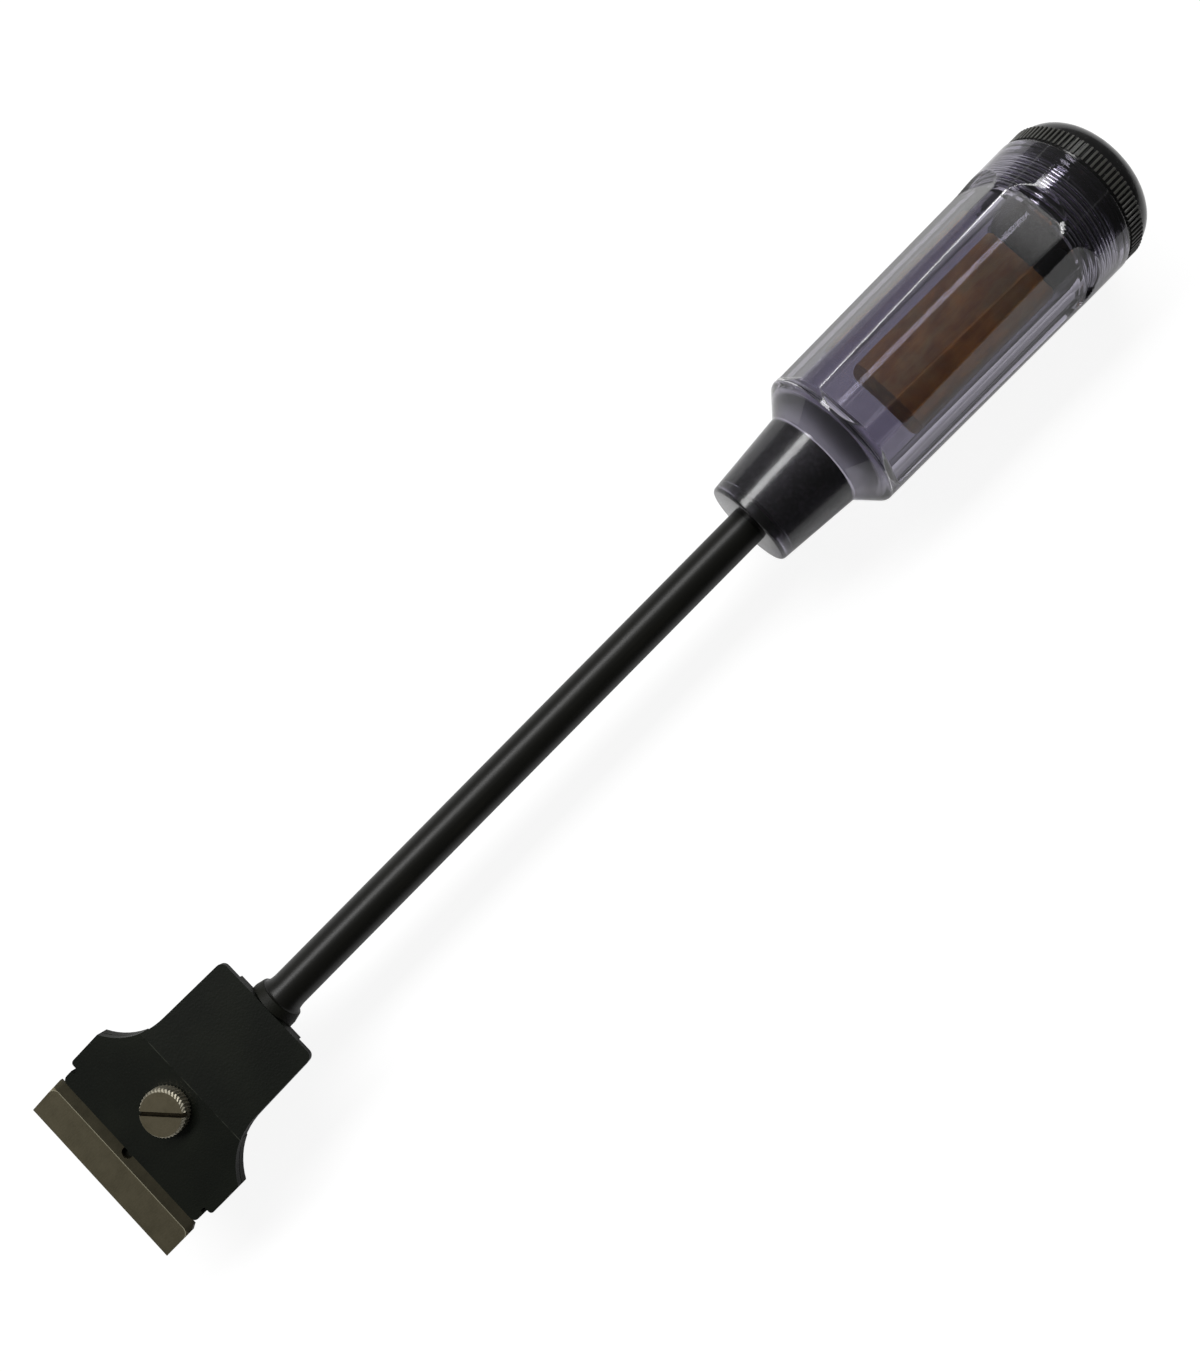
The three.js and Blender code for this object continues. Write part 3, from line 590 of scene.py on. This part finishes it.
core_form = turned_form([
    (core_start, shaft_radius),
    *corner(core_start + core_corner, core_front_radius - core_corner, core_corner, 180, 90),
    (core_flare, core_front_radius),
    (core_flare + core_flare_length, core_rear_radius),
    (core_end, core_rear_radius),
    (core_end, 0),
    (core_end - core_end_wall, 0),
    (core_end - core_end_wall, shaft_radius),
    (core_start, shaft_radius),
], shaft_columns)
bmesh.ops.translate(core_form, vec=(0, 0, axis_height), verts=core_form.verts)

core_finish = Finish("core_black_plastic")
core_lumps = core_finish.cloud(core_lump_size, detail=4)
core_patches = core_finish.cloud(core_patch_size)
core_share = core_finish.between(core_lumps + 0.4 * core_patches, *core_wear_range)
core_finish.set("Base Color", core_finish.mix(core_share, linear(core_black), linear(core_grey)))
core_finish.set("Roughness", core_roughness + core_roughness_swing * (core_lumps - 0.5))
core_finish.bump(core_lumps, core_lump_depth)
dress(piece("core_plug", core_form, turned_sharp_angle), core_finish, "frame", "core_plastic", "neck_core")

# Handle: one moulding of clear smoky plastic, with a tapered neck, a grip with six flats that end in
# ramps, and a hollow for spare blades that opens in a threaded mouth at the cap.
# The flat on top keeps the grain of the mould, most of all at its rear, and the others are polished.
handle_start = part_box("handle")[0].x
handle_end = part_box("handle")[1].x
neck_front_radius = 0.0099
neck_rear_radius = 0.0113
neck_length = 0.0187
neck_corner = 0.0008
neck_fillet = 0.0008
neck_fillet_back = 0.0003
neck_fillet_out = 0.0009
shoulder_length = 0.005
shoulder_corner = 0.0012
shoulder_corner_back = 0.0002
grip_front_radius = 0.0163
grip_rear_radius = 0.0168
flat_count = 6
flat_from_axis = 0.0152
flat_front_margin = 0.002
flat_rear_margin = 0.0109
flat_end_half_width = 0.00715
flat_corner_radius = 0.0026
flat_ramp = math.tan(math.radians(31))
flat_clocking = math.radians(-6)
flat_edge_width = math.radians(0.9)
flat_edge_drop = 0.000026
edge_highlight_reach = 0.00014
store_radius = 0.0125
store_setback = 0.0011
store_corner = 0.0012
mouth_edge_radius = 0.0005
cap_height = 0.0091
thread_pitch = 0.0015
thread_depth = 0.0005
thread_steepness = 2.2
crest_sharpness = 8
thread_radius = 0.0133
thread_play = 0.0003
thread_runout = 0.0005
thread_entry = 0.0002
seal_seat_depth = 0.002
seal_seat_radius = 0.01445
columns_per_flat = 52
edge_column = 20
row_gap = 0.0001
straight_row_spacing = 0.0015
ramp_row_spacing = 0.00014
rows_per_pitch = 24
handle_sharp_angle = math.radians(28)
frost_rear_margin = 0.01174
frost_length = 0.013
frost_least = 0.1
frost_gain = 0.8
coat_roughness = 0.3
coat_ior = 2.2
plastic_ior = 1.49
flat_mask_inner = 0.00002
flat_mask_outer = 0.0001
store_mist_fade = 0.0003
neck_fade = 0.0005
flow_line_scale = (30, 700, 700)
scuff_size = 0.003
scuff_range = (0.5, 0.8)
mould_grain_size = 0.00035
mould_grain_range = (0.35, 0.65)
mould_grain_share = 0.4
grazing_range = (0.35, 0.8)
handle_relief = 0.00002
polished_roughness = 0.04
scuff_roughness = 0.05
neck_roughness = 0.15
store_end_roughness = 0.3
painted_edge_highlight_roughness = 0.2
smoky_plastic = (158, 154, 170)
smoky_plastic_dark = (148, 144, 159)
smoky_plastic_deep = (86, 83, 92)
edge_highlight_plastic = (246, 245, 248)

shoulder_start = handle_start + neck_length
grip_start = shoulder_start + shoulder_length
store_start = grip_start + store_setback
mouth_thread_start = cap_low.x - thread_runout
cap_seam = cap_high.x - cap_height
flat_start = grip_start + flat_front_margin
flat_end = handle_end - flat_rear_margin
flat_corner_x = flat_end - flat_corner_radius
flat_corner_y = flat_end_half_width - flat_corner_radius
flat_share = math.tau / flat_count
ramp_top_x = flat_end + (grip_rear_radius - flat_from_axis) / flat_ramp


def rows(start, end, spacing):
    """Evenly spaced places from start to end, no further apart than the spacing."""
    count = math.ceil(abs(end - start) / spacing)
    return [start + (end - start) * row / count for row in range(count + 1)]


def cut_thread(form, start, end, middle_radius):
    """Draws the rings of a bore or a rod in and out along the helix, with a run-out at each end."""
    # A layer marks the crests and roots, which the cap paints with pale highlight lines.
    crest = form.verts.layers.float.new("thread_crest_highlight")
    for vertex in form.verts:
        x, y, z = vertex.co
        radius = math.hypot(y, z)
        if not start < x < end or abs(radius - middle_radius) > thread_depth / 2:
            continue
        runout = min(1, (x - start) / thread_pitch * 2, (end - x) / thread_pitch * 2)
        phase = math.tau * (x - cap_seam) / thread_pitch - math.atan2(z, y)
        wave = math.tanh(thread_steepness * math.cos(phase)) / math.tanh(thread_steepness)
        reach = middle_radius + thread_depth / 2 * wave * runout
        vertex[crest] = math.cos(phase) ** crest_sharpness * runout
        vertex.co.y = y * reach / radius
        vertex.co.z = z * reach / radius


bore_radius = thread_radius + thread_play
seat_x = handle_end - seal_seat_depth
grip_slope = (grip_rear_radius - grip_front_radius) / (flat_end - grip_start)
grip_rows = [
    *rows(handle_end - mouth_edge_radius - 3 * row_gap, ramp_top_x + 2 * row_gap, straight_row_spacing),
    *rows(ramp_top_x + row_gap, flat_corner_x - row_gap, ramp_row_spacing),
    *rows(flat_corner_x - 3 * row_gap, flat_start + 3 * row_gap, straight_row_spacing),
    *rows(flat_start + row_gap, grip_start, ramp_row_spacing),
]


def grip_radius(x):
    """The grip's radius at a place along it. It widens a little on the way to the cap."""
    return min(grip_rear_radius, grip_front_radius + grip_slope * (x - grip_start))


handle_profile = [
    (store_start, 0),
    *corner(store_start + store_corner, store_radius - store_corner, store_corner, 180, 90),
    (mouth_thread_start - thread_entry, store_radius),
    *[(x, bore_radius) for x in rows(mouth_thread_start, seat_x, thread_pitch / rows_per_pitch)],
    (seat_x, seal_seat_radius),
    (handle_end, seal_seat_radius),
    *corner(handle_end - mouth_edge_radius, grip_rear_radius - mouth_edge_radius, mouth_edge_radius, 0, 90),
    *[(x, grip_radius(x)) for x in grip_rows],
    *corner(grip_start + shoulder_corner_back, grip_front_radius - shoulder_corner, shoulder_corner,
            90, 135),
    *corner(shoulder_start - neck_fillet_back, neck_rear_radius + neck_fillet_out, neck_fillet,
            -45, -86),
    *corner(handle_start + neck_corner, neck_front_radius - neck_corner, neck_corner, 90, 180),
    (handle_start, shaft_radius - core_bond),
    (core_start + core_bond, shaft_radius - core_bond),
    (core_start + core_bond, core_front_radius - core_bond),
    (core_flare, core_front_radius - core_bond),
    (core_flare + core_flare_length, core_rear_radius - core_bond),
    (core_end - core_bond, core_rear_radius - core_bond),
    (core_end - core_bond, 0),
]
column_share = flat_share / columns_per_flat


def cut_flats(form):
    """Draws the grip in to its flats, and marks their edges, which get a pale painted highlight."""
    edge_highlight = form.verts.layers.float.new("edge_highlight")
    for vertex in form.verts:
        x, y, z = vertex.co
        radius = math.hypot(y, z)
        if x < grip_start or radius < flat_from_axis:
            continue
        straight_x = max(flat_start, min(flat_corner_x, x))
        edge_turn = math.acos(flat_from_axis / grip_radius(straight_x))
        # One column lies on either edge of a flat, with close neighbours, so that the edge is crisp.
        column = round(math.atan2(y, z) / column_share)
        in_flat = (column + columns_per_flat // 2) % columns_per_flat - columns_per_flat // 2
        side = math.copysign(1, in_flat)
        steps = abs(in_flat)
        if steps < edge_column:
            from_middle = (edge_turn - flat_edge_width) * steps / (edge_column - 1)
        elif steps == edge_column:
            from_middle = edge_turn
        else:
            outer = edge_turn + flat_edge_width
            outer_share = (steps - edge_column - 1) / (columns_per_flat / 2 - edge_column - 1)
            from_middle = outer + (flat_share / 2 - outer) * outer_share
        # Past its straight stretch a flat rises on a ramp, and the rear ramp has round corners.
        sideways = radius * math.sin(from_middle)
        past_corner = math.hypot(max(0, x - flat_corner_x), max(0, sideways - flat_corner_y))
        past_end = past_corner - flat_corner_radius if x > flat_corner_x else 0
        rise = max(0, flat_start - x, past_end) * flat_ramp
        flat_limit = (flat_from_axis + rise) / math.cos(from_middle)
        vertex[edge_highlight] = max(0, 1 - abs(radius - flat_limit) / edge_highlight_reach)
        reach = min(radius, flat_limit)
        if steps == edge_column and rise == 0:
            reach -= flat_edge_drop
        turn = (column - in_flat) * column_share + side * from_middle
        vertex.co.y = reach * math.sin(turn)
        vertex.co.z = reach * math.cos(turn)


handle_form = turned_form(handle_profile, flat_count * columns_per_flat)
cut_flats(handle_form)
clocked = Matrix.Rotation(flat_clocking, 4, "X")
bmesh.ops.transform(handle_form, matrix=clocked, verts=handle_form.verts)
cut_thread(handle_form, mouth_thread_start, seat_x, bore_radius)
bmesh.ops.translate(handle_form, vec=(0, 0, axis_height), verts=handle_form.verts)

handle_finish = Finish("handle_smoky_plastic", transmission_weight=1, ior=plastic_ior,
                       coat_roughness=coat_roughness, coat_ior=coat_ior)
flow_lines = handle_finish.cloud(1, detail=3, place=handle_finish.mapped(scale=flow_line_scale))
scuffs = handle_finish.between(handle_finish.cloud(scuff_size, detail=5), *scuff_range)
mould_grain = handle_finish.cloud(mould_grain_size, detail=2)
about_axis = handle_finish.mapped(shift=(0, 0, -axis_height))
top_flat_place = handle_finish.mapped(about_axis, turn=(-flat_clocking, 0, 0))
along_handle = handle_finish.part(top_flat_place, "X")
above_axis = handle_finish.part(top_flat_place, "Z")
from_axis = handle_finish.distance(about_axis, kept=(0, 1, 1))
off_top_flat = (above_axis - flat_from_axis).math("ABSOLUTE")
on_top_flat = 1 - handle_finish.between(off_top_flat, flat_mask_inner, flat_mask_outer)
store_floor_x = store_start + store_corner
at_store_bottom = (
    (1 - handle_finish.between(along_handle, store_floor_x, store_floor_x + store_mist_fade))
    * handle_finish.between(along_handle, store_start - 4 * row_gap, store_start - 2 * row_gap)
    * (1 - handle_finish.between(from_axis, store_radius + row_gap, store_radius + store_mist_fade))
)
on_neck = 1 - handle_finish.step(along_handle, shoulder_start, neck_fade)
# The flats' edges are painted pale as a painted highlight.
painted_edge_highlight = handle_finish.node("ShaderNodeAttribute", {"attribute_name": "edge_highlight"}, output="Fac")
smoky_tint = handle_finish.mix(flow_lines, linear(smoky_plastic), linear(smoky_plastic_dark))
grazing = handle_finish.node("ShaderNodeLayerWeight", {}, {"Blend": 0.5}, output="Facing")
deep_share = handle_finish.between(grazing, *grazing_range)
deep_tint = handle_finish.mix(deep_share, smoky_tint, linear(smoky_plastic_deep))
handle_finish.set("Base Color", handle_finish.mix(painted_edge_highlight, deep_tint, linear(edge_highlight_plastic)))
handle_finish.set(
    "Roughness",
    polished_roughness + scuff_roughness * scuffs + neck_roughness * on_neck
    + store_end_roughness * at_store_bottom + painted_edge_highlight_roughness * painted_edge_highlight,
)
frost_end = handle_end - frost_rear_margin
frosted = handle_finish.between(along_handle, frost_end - frost_length, frost_end)
frost = frost_least + frost_gain * frosted
grain_peaks = handle_finish.between(mould_grain, *mould_grain_range)
grained = 1 - mould_grain_share + mould_grain_share * grain_peaks
handle_finish.set("Coat Weight", on_top_flat * frost * grained)
handle_finish.bump(0.3 * flow_lines + mould_grain * on_top_flat * frost, handle_relief)
dress(piece("handle_clear_plastic", handle_form, handle_sharp_angle), handle_finish,
      "frame", "clear_plastic", "handle")

# Packet: brown waxed paper, wrapped loosely round the stack of spare blades and left open towards the
# cap. The wax makes it mottled, and its long sides are soft folds, not creases.
paper_thickness = 0.0004
paper_fold_radius = 0.0034
paper_fold_steps = 6
paper_cut_back = 0.0034
paper_crumple = 0.00025
paper_crumple_room = Vector((0.0002, 0.0005, 0.0005))
paper_columns = 41
paper_rows = 9
paper_short_edge = 0.004
sideways_frequency = 140
upright_frequency = 150
upright_shift = Vector((3, 5, 7))
paper_mottle_size = 0.009
paper_amber_range = (0.4, 0.6)
paper_spot_size = 0.005
paper_dark_range = (0.3, 0.8)
paper_fibre_scale = (260, 2200, 2200)
paper_fibre_depth = 0.00008
paper_roughness = 0.5
paper_roughness_swing = 0.3
soft_sharp_angle = math.radians(40)
paper_brown = (248, 178, 86)
paper_amber = (226, 188, 110)
paper_dark = (188, 126, 60)
wrap_low, wrap_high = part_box("blade_wrap")
wrap_high = wrap_high - Vector((paper_cut_back, 0, 0))
wrap_size = wrap_high - wrap_low - paper_crumple_room


def full_length_edges():
    """The packet's edges that run from its one end to the other."""
    return [
        edge for edge in wrap_form.edges
        if abs(edge.verts[0].co.x - edge.verts[1].co.x) > wrap_size.x / 2
    ]


def crumple(place, frequency, shift=Vector((0, 0, 0))):
    """Large dents with smaller ones in them, from about -1 to 1."""
    return noise.noise(place * frequency + shift) + 0.5 * noise.noise(place * frequency * 3)


wrap_form = bmesh.new()
bmesh.ops.create_cube(wrap_form, size=1)
bmesh.ops.scale(wrap_form, vec=wrap_size, verts=wrap_form.verts)
bmesh.ops.translate(wrap_form, vec=(wrap_low + wrap_high) / 2, verts=wrap_form.verts)
open_end = [face for face in wrap_form.faces if face.normal.x > 0.9]
bmesh.ops.delete(wrap_form, geom=open_end, context="FACES")
bmesh.ops.bevel(wrap_form, geom=full_length_edges(), offset=paper_fold_radius,
                segments=paper_fold_steps, affect="EDGES", profile=0.5, material=-1, clamp_overlap=True)
bmesh.ops.subdivide_edges(wrap_form, edges=full_length_edges(), cuts=paper_columns - 1,
                          use_grid_fill=True)
crosswise = [edge for edge in wrap_form.edges if edge.calc_length() > paper_short_edge]
bmesh.ops.subdivide_edges(wrap_form, edges=crosswise, cuts=paper_rows - 1, use_grid_fill=True)
for vertex in wrap_form.verts:
    sideways = crumple(vertex.co, sideways_frequency)
    upright = crumple(vertex.co, upright_frequency, upright_shift)
    vertex.co += paper_crumple * Vector((0, sideways, upright))
bmesh.ops.recalc_face_normals(wrap_form, faces=wrap_form.faces)
bmesh.ops.solidify(wrap_form, geom=wrap_form.faces, thickness=paper_thickness)

wrap_finish = Finish("waxed_brown_paper")
paper_mottle = wrap_finish.cloud(paper_mottle_size, detail=4)
paper_spots = wrap_finish.cloud(paper_spot_size, detail=5)
paper_fibre = wrap_finish.cloud(1, detail=4, place=wrap_finish.mapped(scale=paper_fibre_scale))
dark_share = wrap_finish.between(paper_spots * 0.8 + paper_fibre * 0.25, *paper_dark_range)
amber_share = wrap_finish.between(paper_mottle, *paper_amber_range)
paper_light = wrap_finish.mix(amber_share, linear(paper_brown), linear(paper_amber))
wrap_finish.set("Base Color", wrap_finish.mix(dark_share, paper_light, linear(paper_dark)))
wrap_finish.set("Roughness", paper_roughness + paper_roughness_swing * (paper_mottle - 0.5))
wrap_finish.bump(paper_fibre, paper_fibre_depth)
paper_packet = piece("paper_packet", wrap_form, soft_sharp_angle)
dress(paper_packet, wrap_finish, "spare_pack", "waxed_paper", "blade_wrap")

# Spare blades: five more blades, oiled and dark, stacked flat in the packet. Their shape is right in
# the solids, so they only get a look of oiled steel here.
spare_count = 5
oiled_steel = (52, 49, 40)
oiled_steel_dark = (30, 28, 24)
oil_film_size = 0.005
oiled_roughness = 0.25
oiled_roughness_gain = 0.2

spare_finish = Finish("spare_blade_oiled_steel", metallic=1)
oil_film = spare_finish.cloud(oil_film_size, detail=4)
spare_finish.set("Base Color", spare_finish.mix(oil_film, linear(oiled_steel), linear(oiled_steel_dark)))
spare_finish.set("Roughness", oiled_roughness + oiled_roughness_gain * oil_film)
for spare in range(1, spare_count + 1):
    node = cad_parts[f"spare_blade_{spare}"]
    node.data.materials.clear()
    node.data.materials.append(spare_finish.material)

# Seal: a black rubber ring of 1.4 mm cord. It is stretched over the cap's plug and sits under the
# flange, where it is pressed against its seat in the handle's mouth.
seal_cord_columns = 16
seal_ring_columns = 96
rubber_black = (14, 14, 14)
rubber_dusty = (30, 30, 30)
rubber_dust_size = 0.001
rubber_roughness = 0.7
rubber_dust_roughness = 0.2
seal_low, seal_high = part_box("cap_seal")
seal_cord_radius = (seal_high.x - seal_low.x) / 2
seal_ring_radius = (seal_high.z - seal_low.z) / 2 - seal_cord_radius
seal_middle = (seal_low.x + seal_high.x) / 2

seal_form = bmesh.new()
cord_place = Matrix.Translation((0, 0, seal_ring_radius)) @ Matrix.Rotation(math.radians(90), 4, "X")
bmesh.ops.create_circle(seal_form, segments=seal_cord_columns, radius=seal_cord_radius, matrix=cord_place)
bmesh.ops.spin(seal_form, geom=seal_form.verts[:] + seal_form.edges[:], cent=(0, 0, 0), axis=(1, 0, 0),
               angle=math.tau, steps=seal_ring_columns, use_merge=True)
bmesh.ops.recalc_face_normals(seal_form, faces=seal_form.faces)
bmesh.ops.translate(seal_form, vec=(seal_middle, 0, axis_height), verts=seal_form.verts)

seal_finish = Finish("seal_black_rubber")
seal_dust = seal_finish.cloud(rubber_dust_size, detail=4)
seal_finish.set("Base Color", seal_finish.mix(seal_dust, linear(rubber_black), linear(rubber_dusty)))
seal_finish.set("Roughness", rubber_roughness + rubber_dust_roughness * seal_dust)
seal_ring = piece("seal_ring", seal_form, soft_sharp_angle)
dress(seal_ring, seal_finish, "cap_seal", "seal_rubber", "cap_seal")

# Cap: black plastic, moulded with a gloss, with a threaded plug, a ring of square teeth for the
# fingers and a low dome. The crests and roots of its thread carry pale painted highlights, and the
# teeth are painted grey as a painted highlight.
plug_lead = 0.0006
plug_thread_length = 0.0067
plug_recess_radius = 0.009
plug_recess_depth = 0.0075
plug_rows_per_pitch = 20
cap_rim_length = 0.0003
cap_seam_corner = 0.0002
cap_teeth = 92
cap_tooth_depth = 0.00035
cap_tooth_steepness = 2.2
cap_tooth_length = 0.0032
cap_tooth_radius = 0.0166
tooth_end_step = 0.00003
tooth_end_drop = 0.00005
tooth_end_length = 0.0001
cap_dome_radius = 0.0161
cap_dome_steps = 16
cap_corner = 0.0076
cap_crown = 0.0001
cap_columns_per_tooth = 6
cap_sharp_angle = math.radians(34)
cap_gloss = 0.35
cap_dust_size = 0.0015
cap_dust_range = (0.5, 0.8)
cap_swirl_size = 0.01
cap_swirl_range = (0.55, 0.85)
cap_swirl_depth = 0.0001
cap_roughness = 0.14
cap_dust_roughness = 0.14
cap_tooth_roughness = 0.25
cap_black = (11, 11, 11)
cap_black_dusty = (22, 22, 22)
cap_tooth_highlight_grey = (56, 56, 52)
cap_crest_highlight_grey = (222, 216, 228)

teeth_start = cap_seam + cap_rim_length
teeth_end = teeth_start + cap_tooth_length
corner_length = cap_high.x - cap_crown - teeth_end
plug_radius = thread_radius - thread_depth / 2
plug_end = cap_low.x
plug_thread_start = plug_end + plug_lead
plug_thread_end = plug_thread_start + plug_thread_length
valley_radius = cap_tooth_radius - cap_tooth_depth
dome_centre = cap_dome_radius - cap_corner
dome_turns = [math.radians(90 - 90 * step / cap_dome_steps) for step in range(cap_dome_steps + 1)]
dome = [
    (teeth_end + corner_length * math.cos(turn), dome_centre + cap_corner * math.sin(turn))
    for turn in dome_turns
]
plug_thread_rows = rows(plug_thread_start + row_gap, plug_thread_end - row_gap,
                        thread_pitch / plug_rows_per_pitch)
cap_profile = [
    (plug_end + plug_recess_depth, 0),
    (plug_end + plug_recess_depth, plug_recess_radius),
    (plug_end, plug_recess_radius),
    (plug_end, plug_radius),
    (plug_thread_start, plug_radius),
    *[(x, thread_radius) for x in plug_thread_rows],
    (plug_thread_end, plug_radius),
    (cap_seam, plug_radius),
    *corner(cap_seam + cap_seam_corner, valley_radius - cap_seam_corner, cap_seam_corner, 180, 90, steps=2),
    (teeth_start, valley_radius),
    (teeth_start + tooth_end_step, cap_tooth_radius - tooth_end_drop),
    (teeth_start + tooth_end_length, cap_tooth_radius),
    (teeth_end - tooth_end_length, cap_tooth_radius),
    (teeth_end - tooth_end_step, cap_tooth_radius - tooth_end_drop),
    *dome,
    (cap_high.x, 0),
]
cap_form = turned_form(cap_profile, cap_teeth * cap_columns_per_tooth)
cut_thread(cap_form, plug_thread_start, plug_thread_end, thread_radius)
for vertex in cap_form.verts:
    x, y, z = vertex.co
    radius = math.hypot(y, z)
    on_tooth = teeth_start + tooth_end_step / 2 < x < teeth_end - tooth_end_step / 2
    if on_tooth and radius > valley_radius:
        wave = cap_tooth_steepness * math.cos(math.atan2(z, y) * cap_teeth)
        groove = 0.5 - 0.5 * max(-1, min(1, wave))
        reach = radius - cap_tooth_depth * groove
        vertex.co.y = y * reach / radius
        vertex.co.z = z * reach / radius
bmesh.ops.translate(cap_form, vec=(0, 0, axis_height), verts=cap_form.verts)

cap_finish = Finish("cap_gloss_black_plastic", specular_ior_level=cap_gloss)
cap_dust = cap_finish.cloud(cap_dust_size, detail=5)
cap_swirl = cap_finish.cloud(cap_swirl_size, detail=2)
cap_about_axis = cap_finish.mapped(shift=(0, 0, -axis_height))
along_cap = cap_finish.part(cap_about_axis, "X")
from_cap_axis = cap_finish.distance(cap_about_axis, kept=(0, 1, 1))
# The teeth, apart from their valleys, are painted grey as a painted highlight.
on_teeth = (
    cap_finish.between(from_cap_axis, valley_radius + tooth_end_length, cap_tooth_radius - tooth_end_step)
    * (1 - cap_finish.between(along_cap, teeth_end - tooth_end_length, teeth_end))
)
dust_share = cap_finish.between(cap_dust, *cap_dust_range)
gloss_black = cap_finish.mix(dust_share, linear(cap_black), linear(cap_black_dusty))
teeth_highlighted = cap_finish.mix(on_teeth, gloss_black, linear(cap_tooth_highlight_grey))
# Pale lines along the thread's crests and roots are painted highlights.
crest_highlight_share = cap_finish.node("ShaderNodeAttribute", {"attribute_name": "thread_crest_highlight"}, output="Fac")
swirled_dust = cap_finish.between(cap_dust + 0.3 * cap_swirl, *cap_swirl_range)
cap_finish.set("Base Color", cap_finish.mix(crest_highlight_share, teeth_highlighted, linear(cap_crest_highlight_grey)))
cap_finish.set(
    "Roughness",
    cap_roughness + cap_dust_roughness * swirled_dust + cap_tooth_roughness * on_teeth,
)
cap_finish.bump(cap_swirl, cap_swirl_depth)
cap_with_plug = piece("cap_with_plug", cap_form, cap_sharp_angle)
dress(cap_with_plug, cap_finish, "cap", "cap_plastic", "cap")

# Studio: a pale floor that looks white to the camera, keeps a faint shadow and fades to plain white
# further out, one long soft light beside the shaft, and a dim room that is brighter on that side.
white_light = (1, 1, 1, 1)
floor_half_size = 0.55
floor_grey = (0.8, 0.8, 0.8, 1)
floor_grey_light = (0.83, 0.83, 0.83, 1)
floor_grain_size = 0.002
floor_roughness = 0.9
fade_start = 0.2
fade_end = 0.5
floor_level = 0.9
shadow_grey = (0.14, 0.14, 0.14, 1)
glossy_share = 0.35
key_length = 1.1
key_width = 0.22
key_power = 9
key_height = 0.8
key_lean = math.radians(36)
room_far_side = 0.05
room_light_side = 0.34

floor_form = bmesh.new()
bmesh.ops.create_grid(floor_form, x_segments=1, y_segments=1, size=floor_half_size)
floor = piece("floor", floor_form, turned_sharp_angle)
floor_finish = Finish("floor_white")
floor_grain = floor_finish.cloud(floor_grain_size)
floor_finish.set("Base Color", floor_finish.mix(floor_grain, floor_grey, floor_grey_light))
floor_finish.set("Roughness", floor_roughness)


def ray(network, output):
    """What is known of the ray that has met the floor or the room."""
    return network.node("ShaderNodeLightPath", output=output)


unscattered = 1 - ray(floor_finish, "Diffuse Depth").math("MINIMUM", 1)
unmirrored = 1 - ray(floor_finish, "Glossy Depth").math("MINIMUM", 1)
mirrored = ray(floor_finish, "Is Glossy Ray") * glossy_share
through_plastic = ray(floor_finish, "Is Transmission Ray") * unmirrored
seen = ray(floor_finish, "Is Camera Ray") + unscattered * (mirrored + through_plastic)
lit = floor_finish.node("ShaderNodeEmission", {}, {"Color": white_light, "Strength": floor_level})
shaded = floor_finish.node("ShaderNodeBsdfDiffuse", {}, {"Color": shadow_grey})
near = floor_finish.node("ShaderNodeAddShader", {}, {0: lit, 1: shaded})
far = floor_finish.node("ShaderNodeEmission", {}, {"Color": white_light, "Strength": 1})
fade = floor_finish.between(floor_finish.distance(floor_finish.place), fade_start, fade_end)
looks = floor_finish.node("ShaderNodeMixShader", {}, {0: fade, 1: near, 2: far})
surface = Signal(floor_finish, floor_finish.shader.outputs[0])
shown = floor_finish.node("ShaderNodeMixShader", {}, {0: seen, 1: surface, 2: looks})
floor_finish.feed(floor_finish.tree.nodes["Material Output"].inputs["Surface"], shown)
floor.data.materials.append(floor_finish.material)

key = bpy.data.objects.new("key_light", bpy.data.lights.new("key_light", "AREA"))
bpy.context.scene.collection.objects.link(key)
key.data.shape = "RECTANGLE"
key.data.size = key_length
key.data.size_y = key_width
key.data.energy = key_power
key.matrix_world = (
    Matrix.Translation((0, 0, axis_height))
    @ Matrix.Rotation(-key_lean, 4, "X")
    @ Matrix.Translation((0, 0, key_height))
)

world = bpy.data.worlds.new("studio")
bpy.context.scene.world = world
world.use_nodes = True
studio = Network(world.node_tree)
direction = studio.node("ShaderNodeTexCoord", output="Generated")
towards_light = studio.node("ShaderNodeSeparateXYZ", {}, {0: direction}, output="Y")
brightness = {"Value": towards_light, "From Min": -1, "To Min": room_far_side, "To Max": room_light_side}
room_level = studio.node("ShaderNodeMapRange", {}, brightness)
deflected = ray(studio, "Diffuse Depth") + ray(studio, "Glossy Depth")
room_seen = ray(studio, "Is Camera Ray").math("MAXIMUM", ray(studio, "Is Transmission Ray") - deflected)
backdrop = studio.node("ShaderNodeMix", {"data_type": "FLOAT"}, {0: room_seen, 2: room_level, 3: 1})
background = studio.tree.nodes["Background"]
studio.feed(background.inputs["Color"], white_light)
studio.feed(background.inputs["Strength"], backdrop)
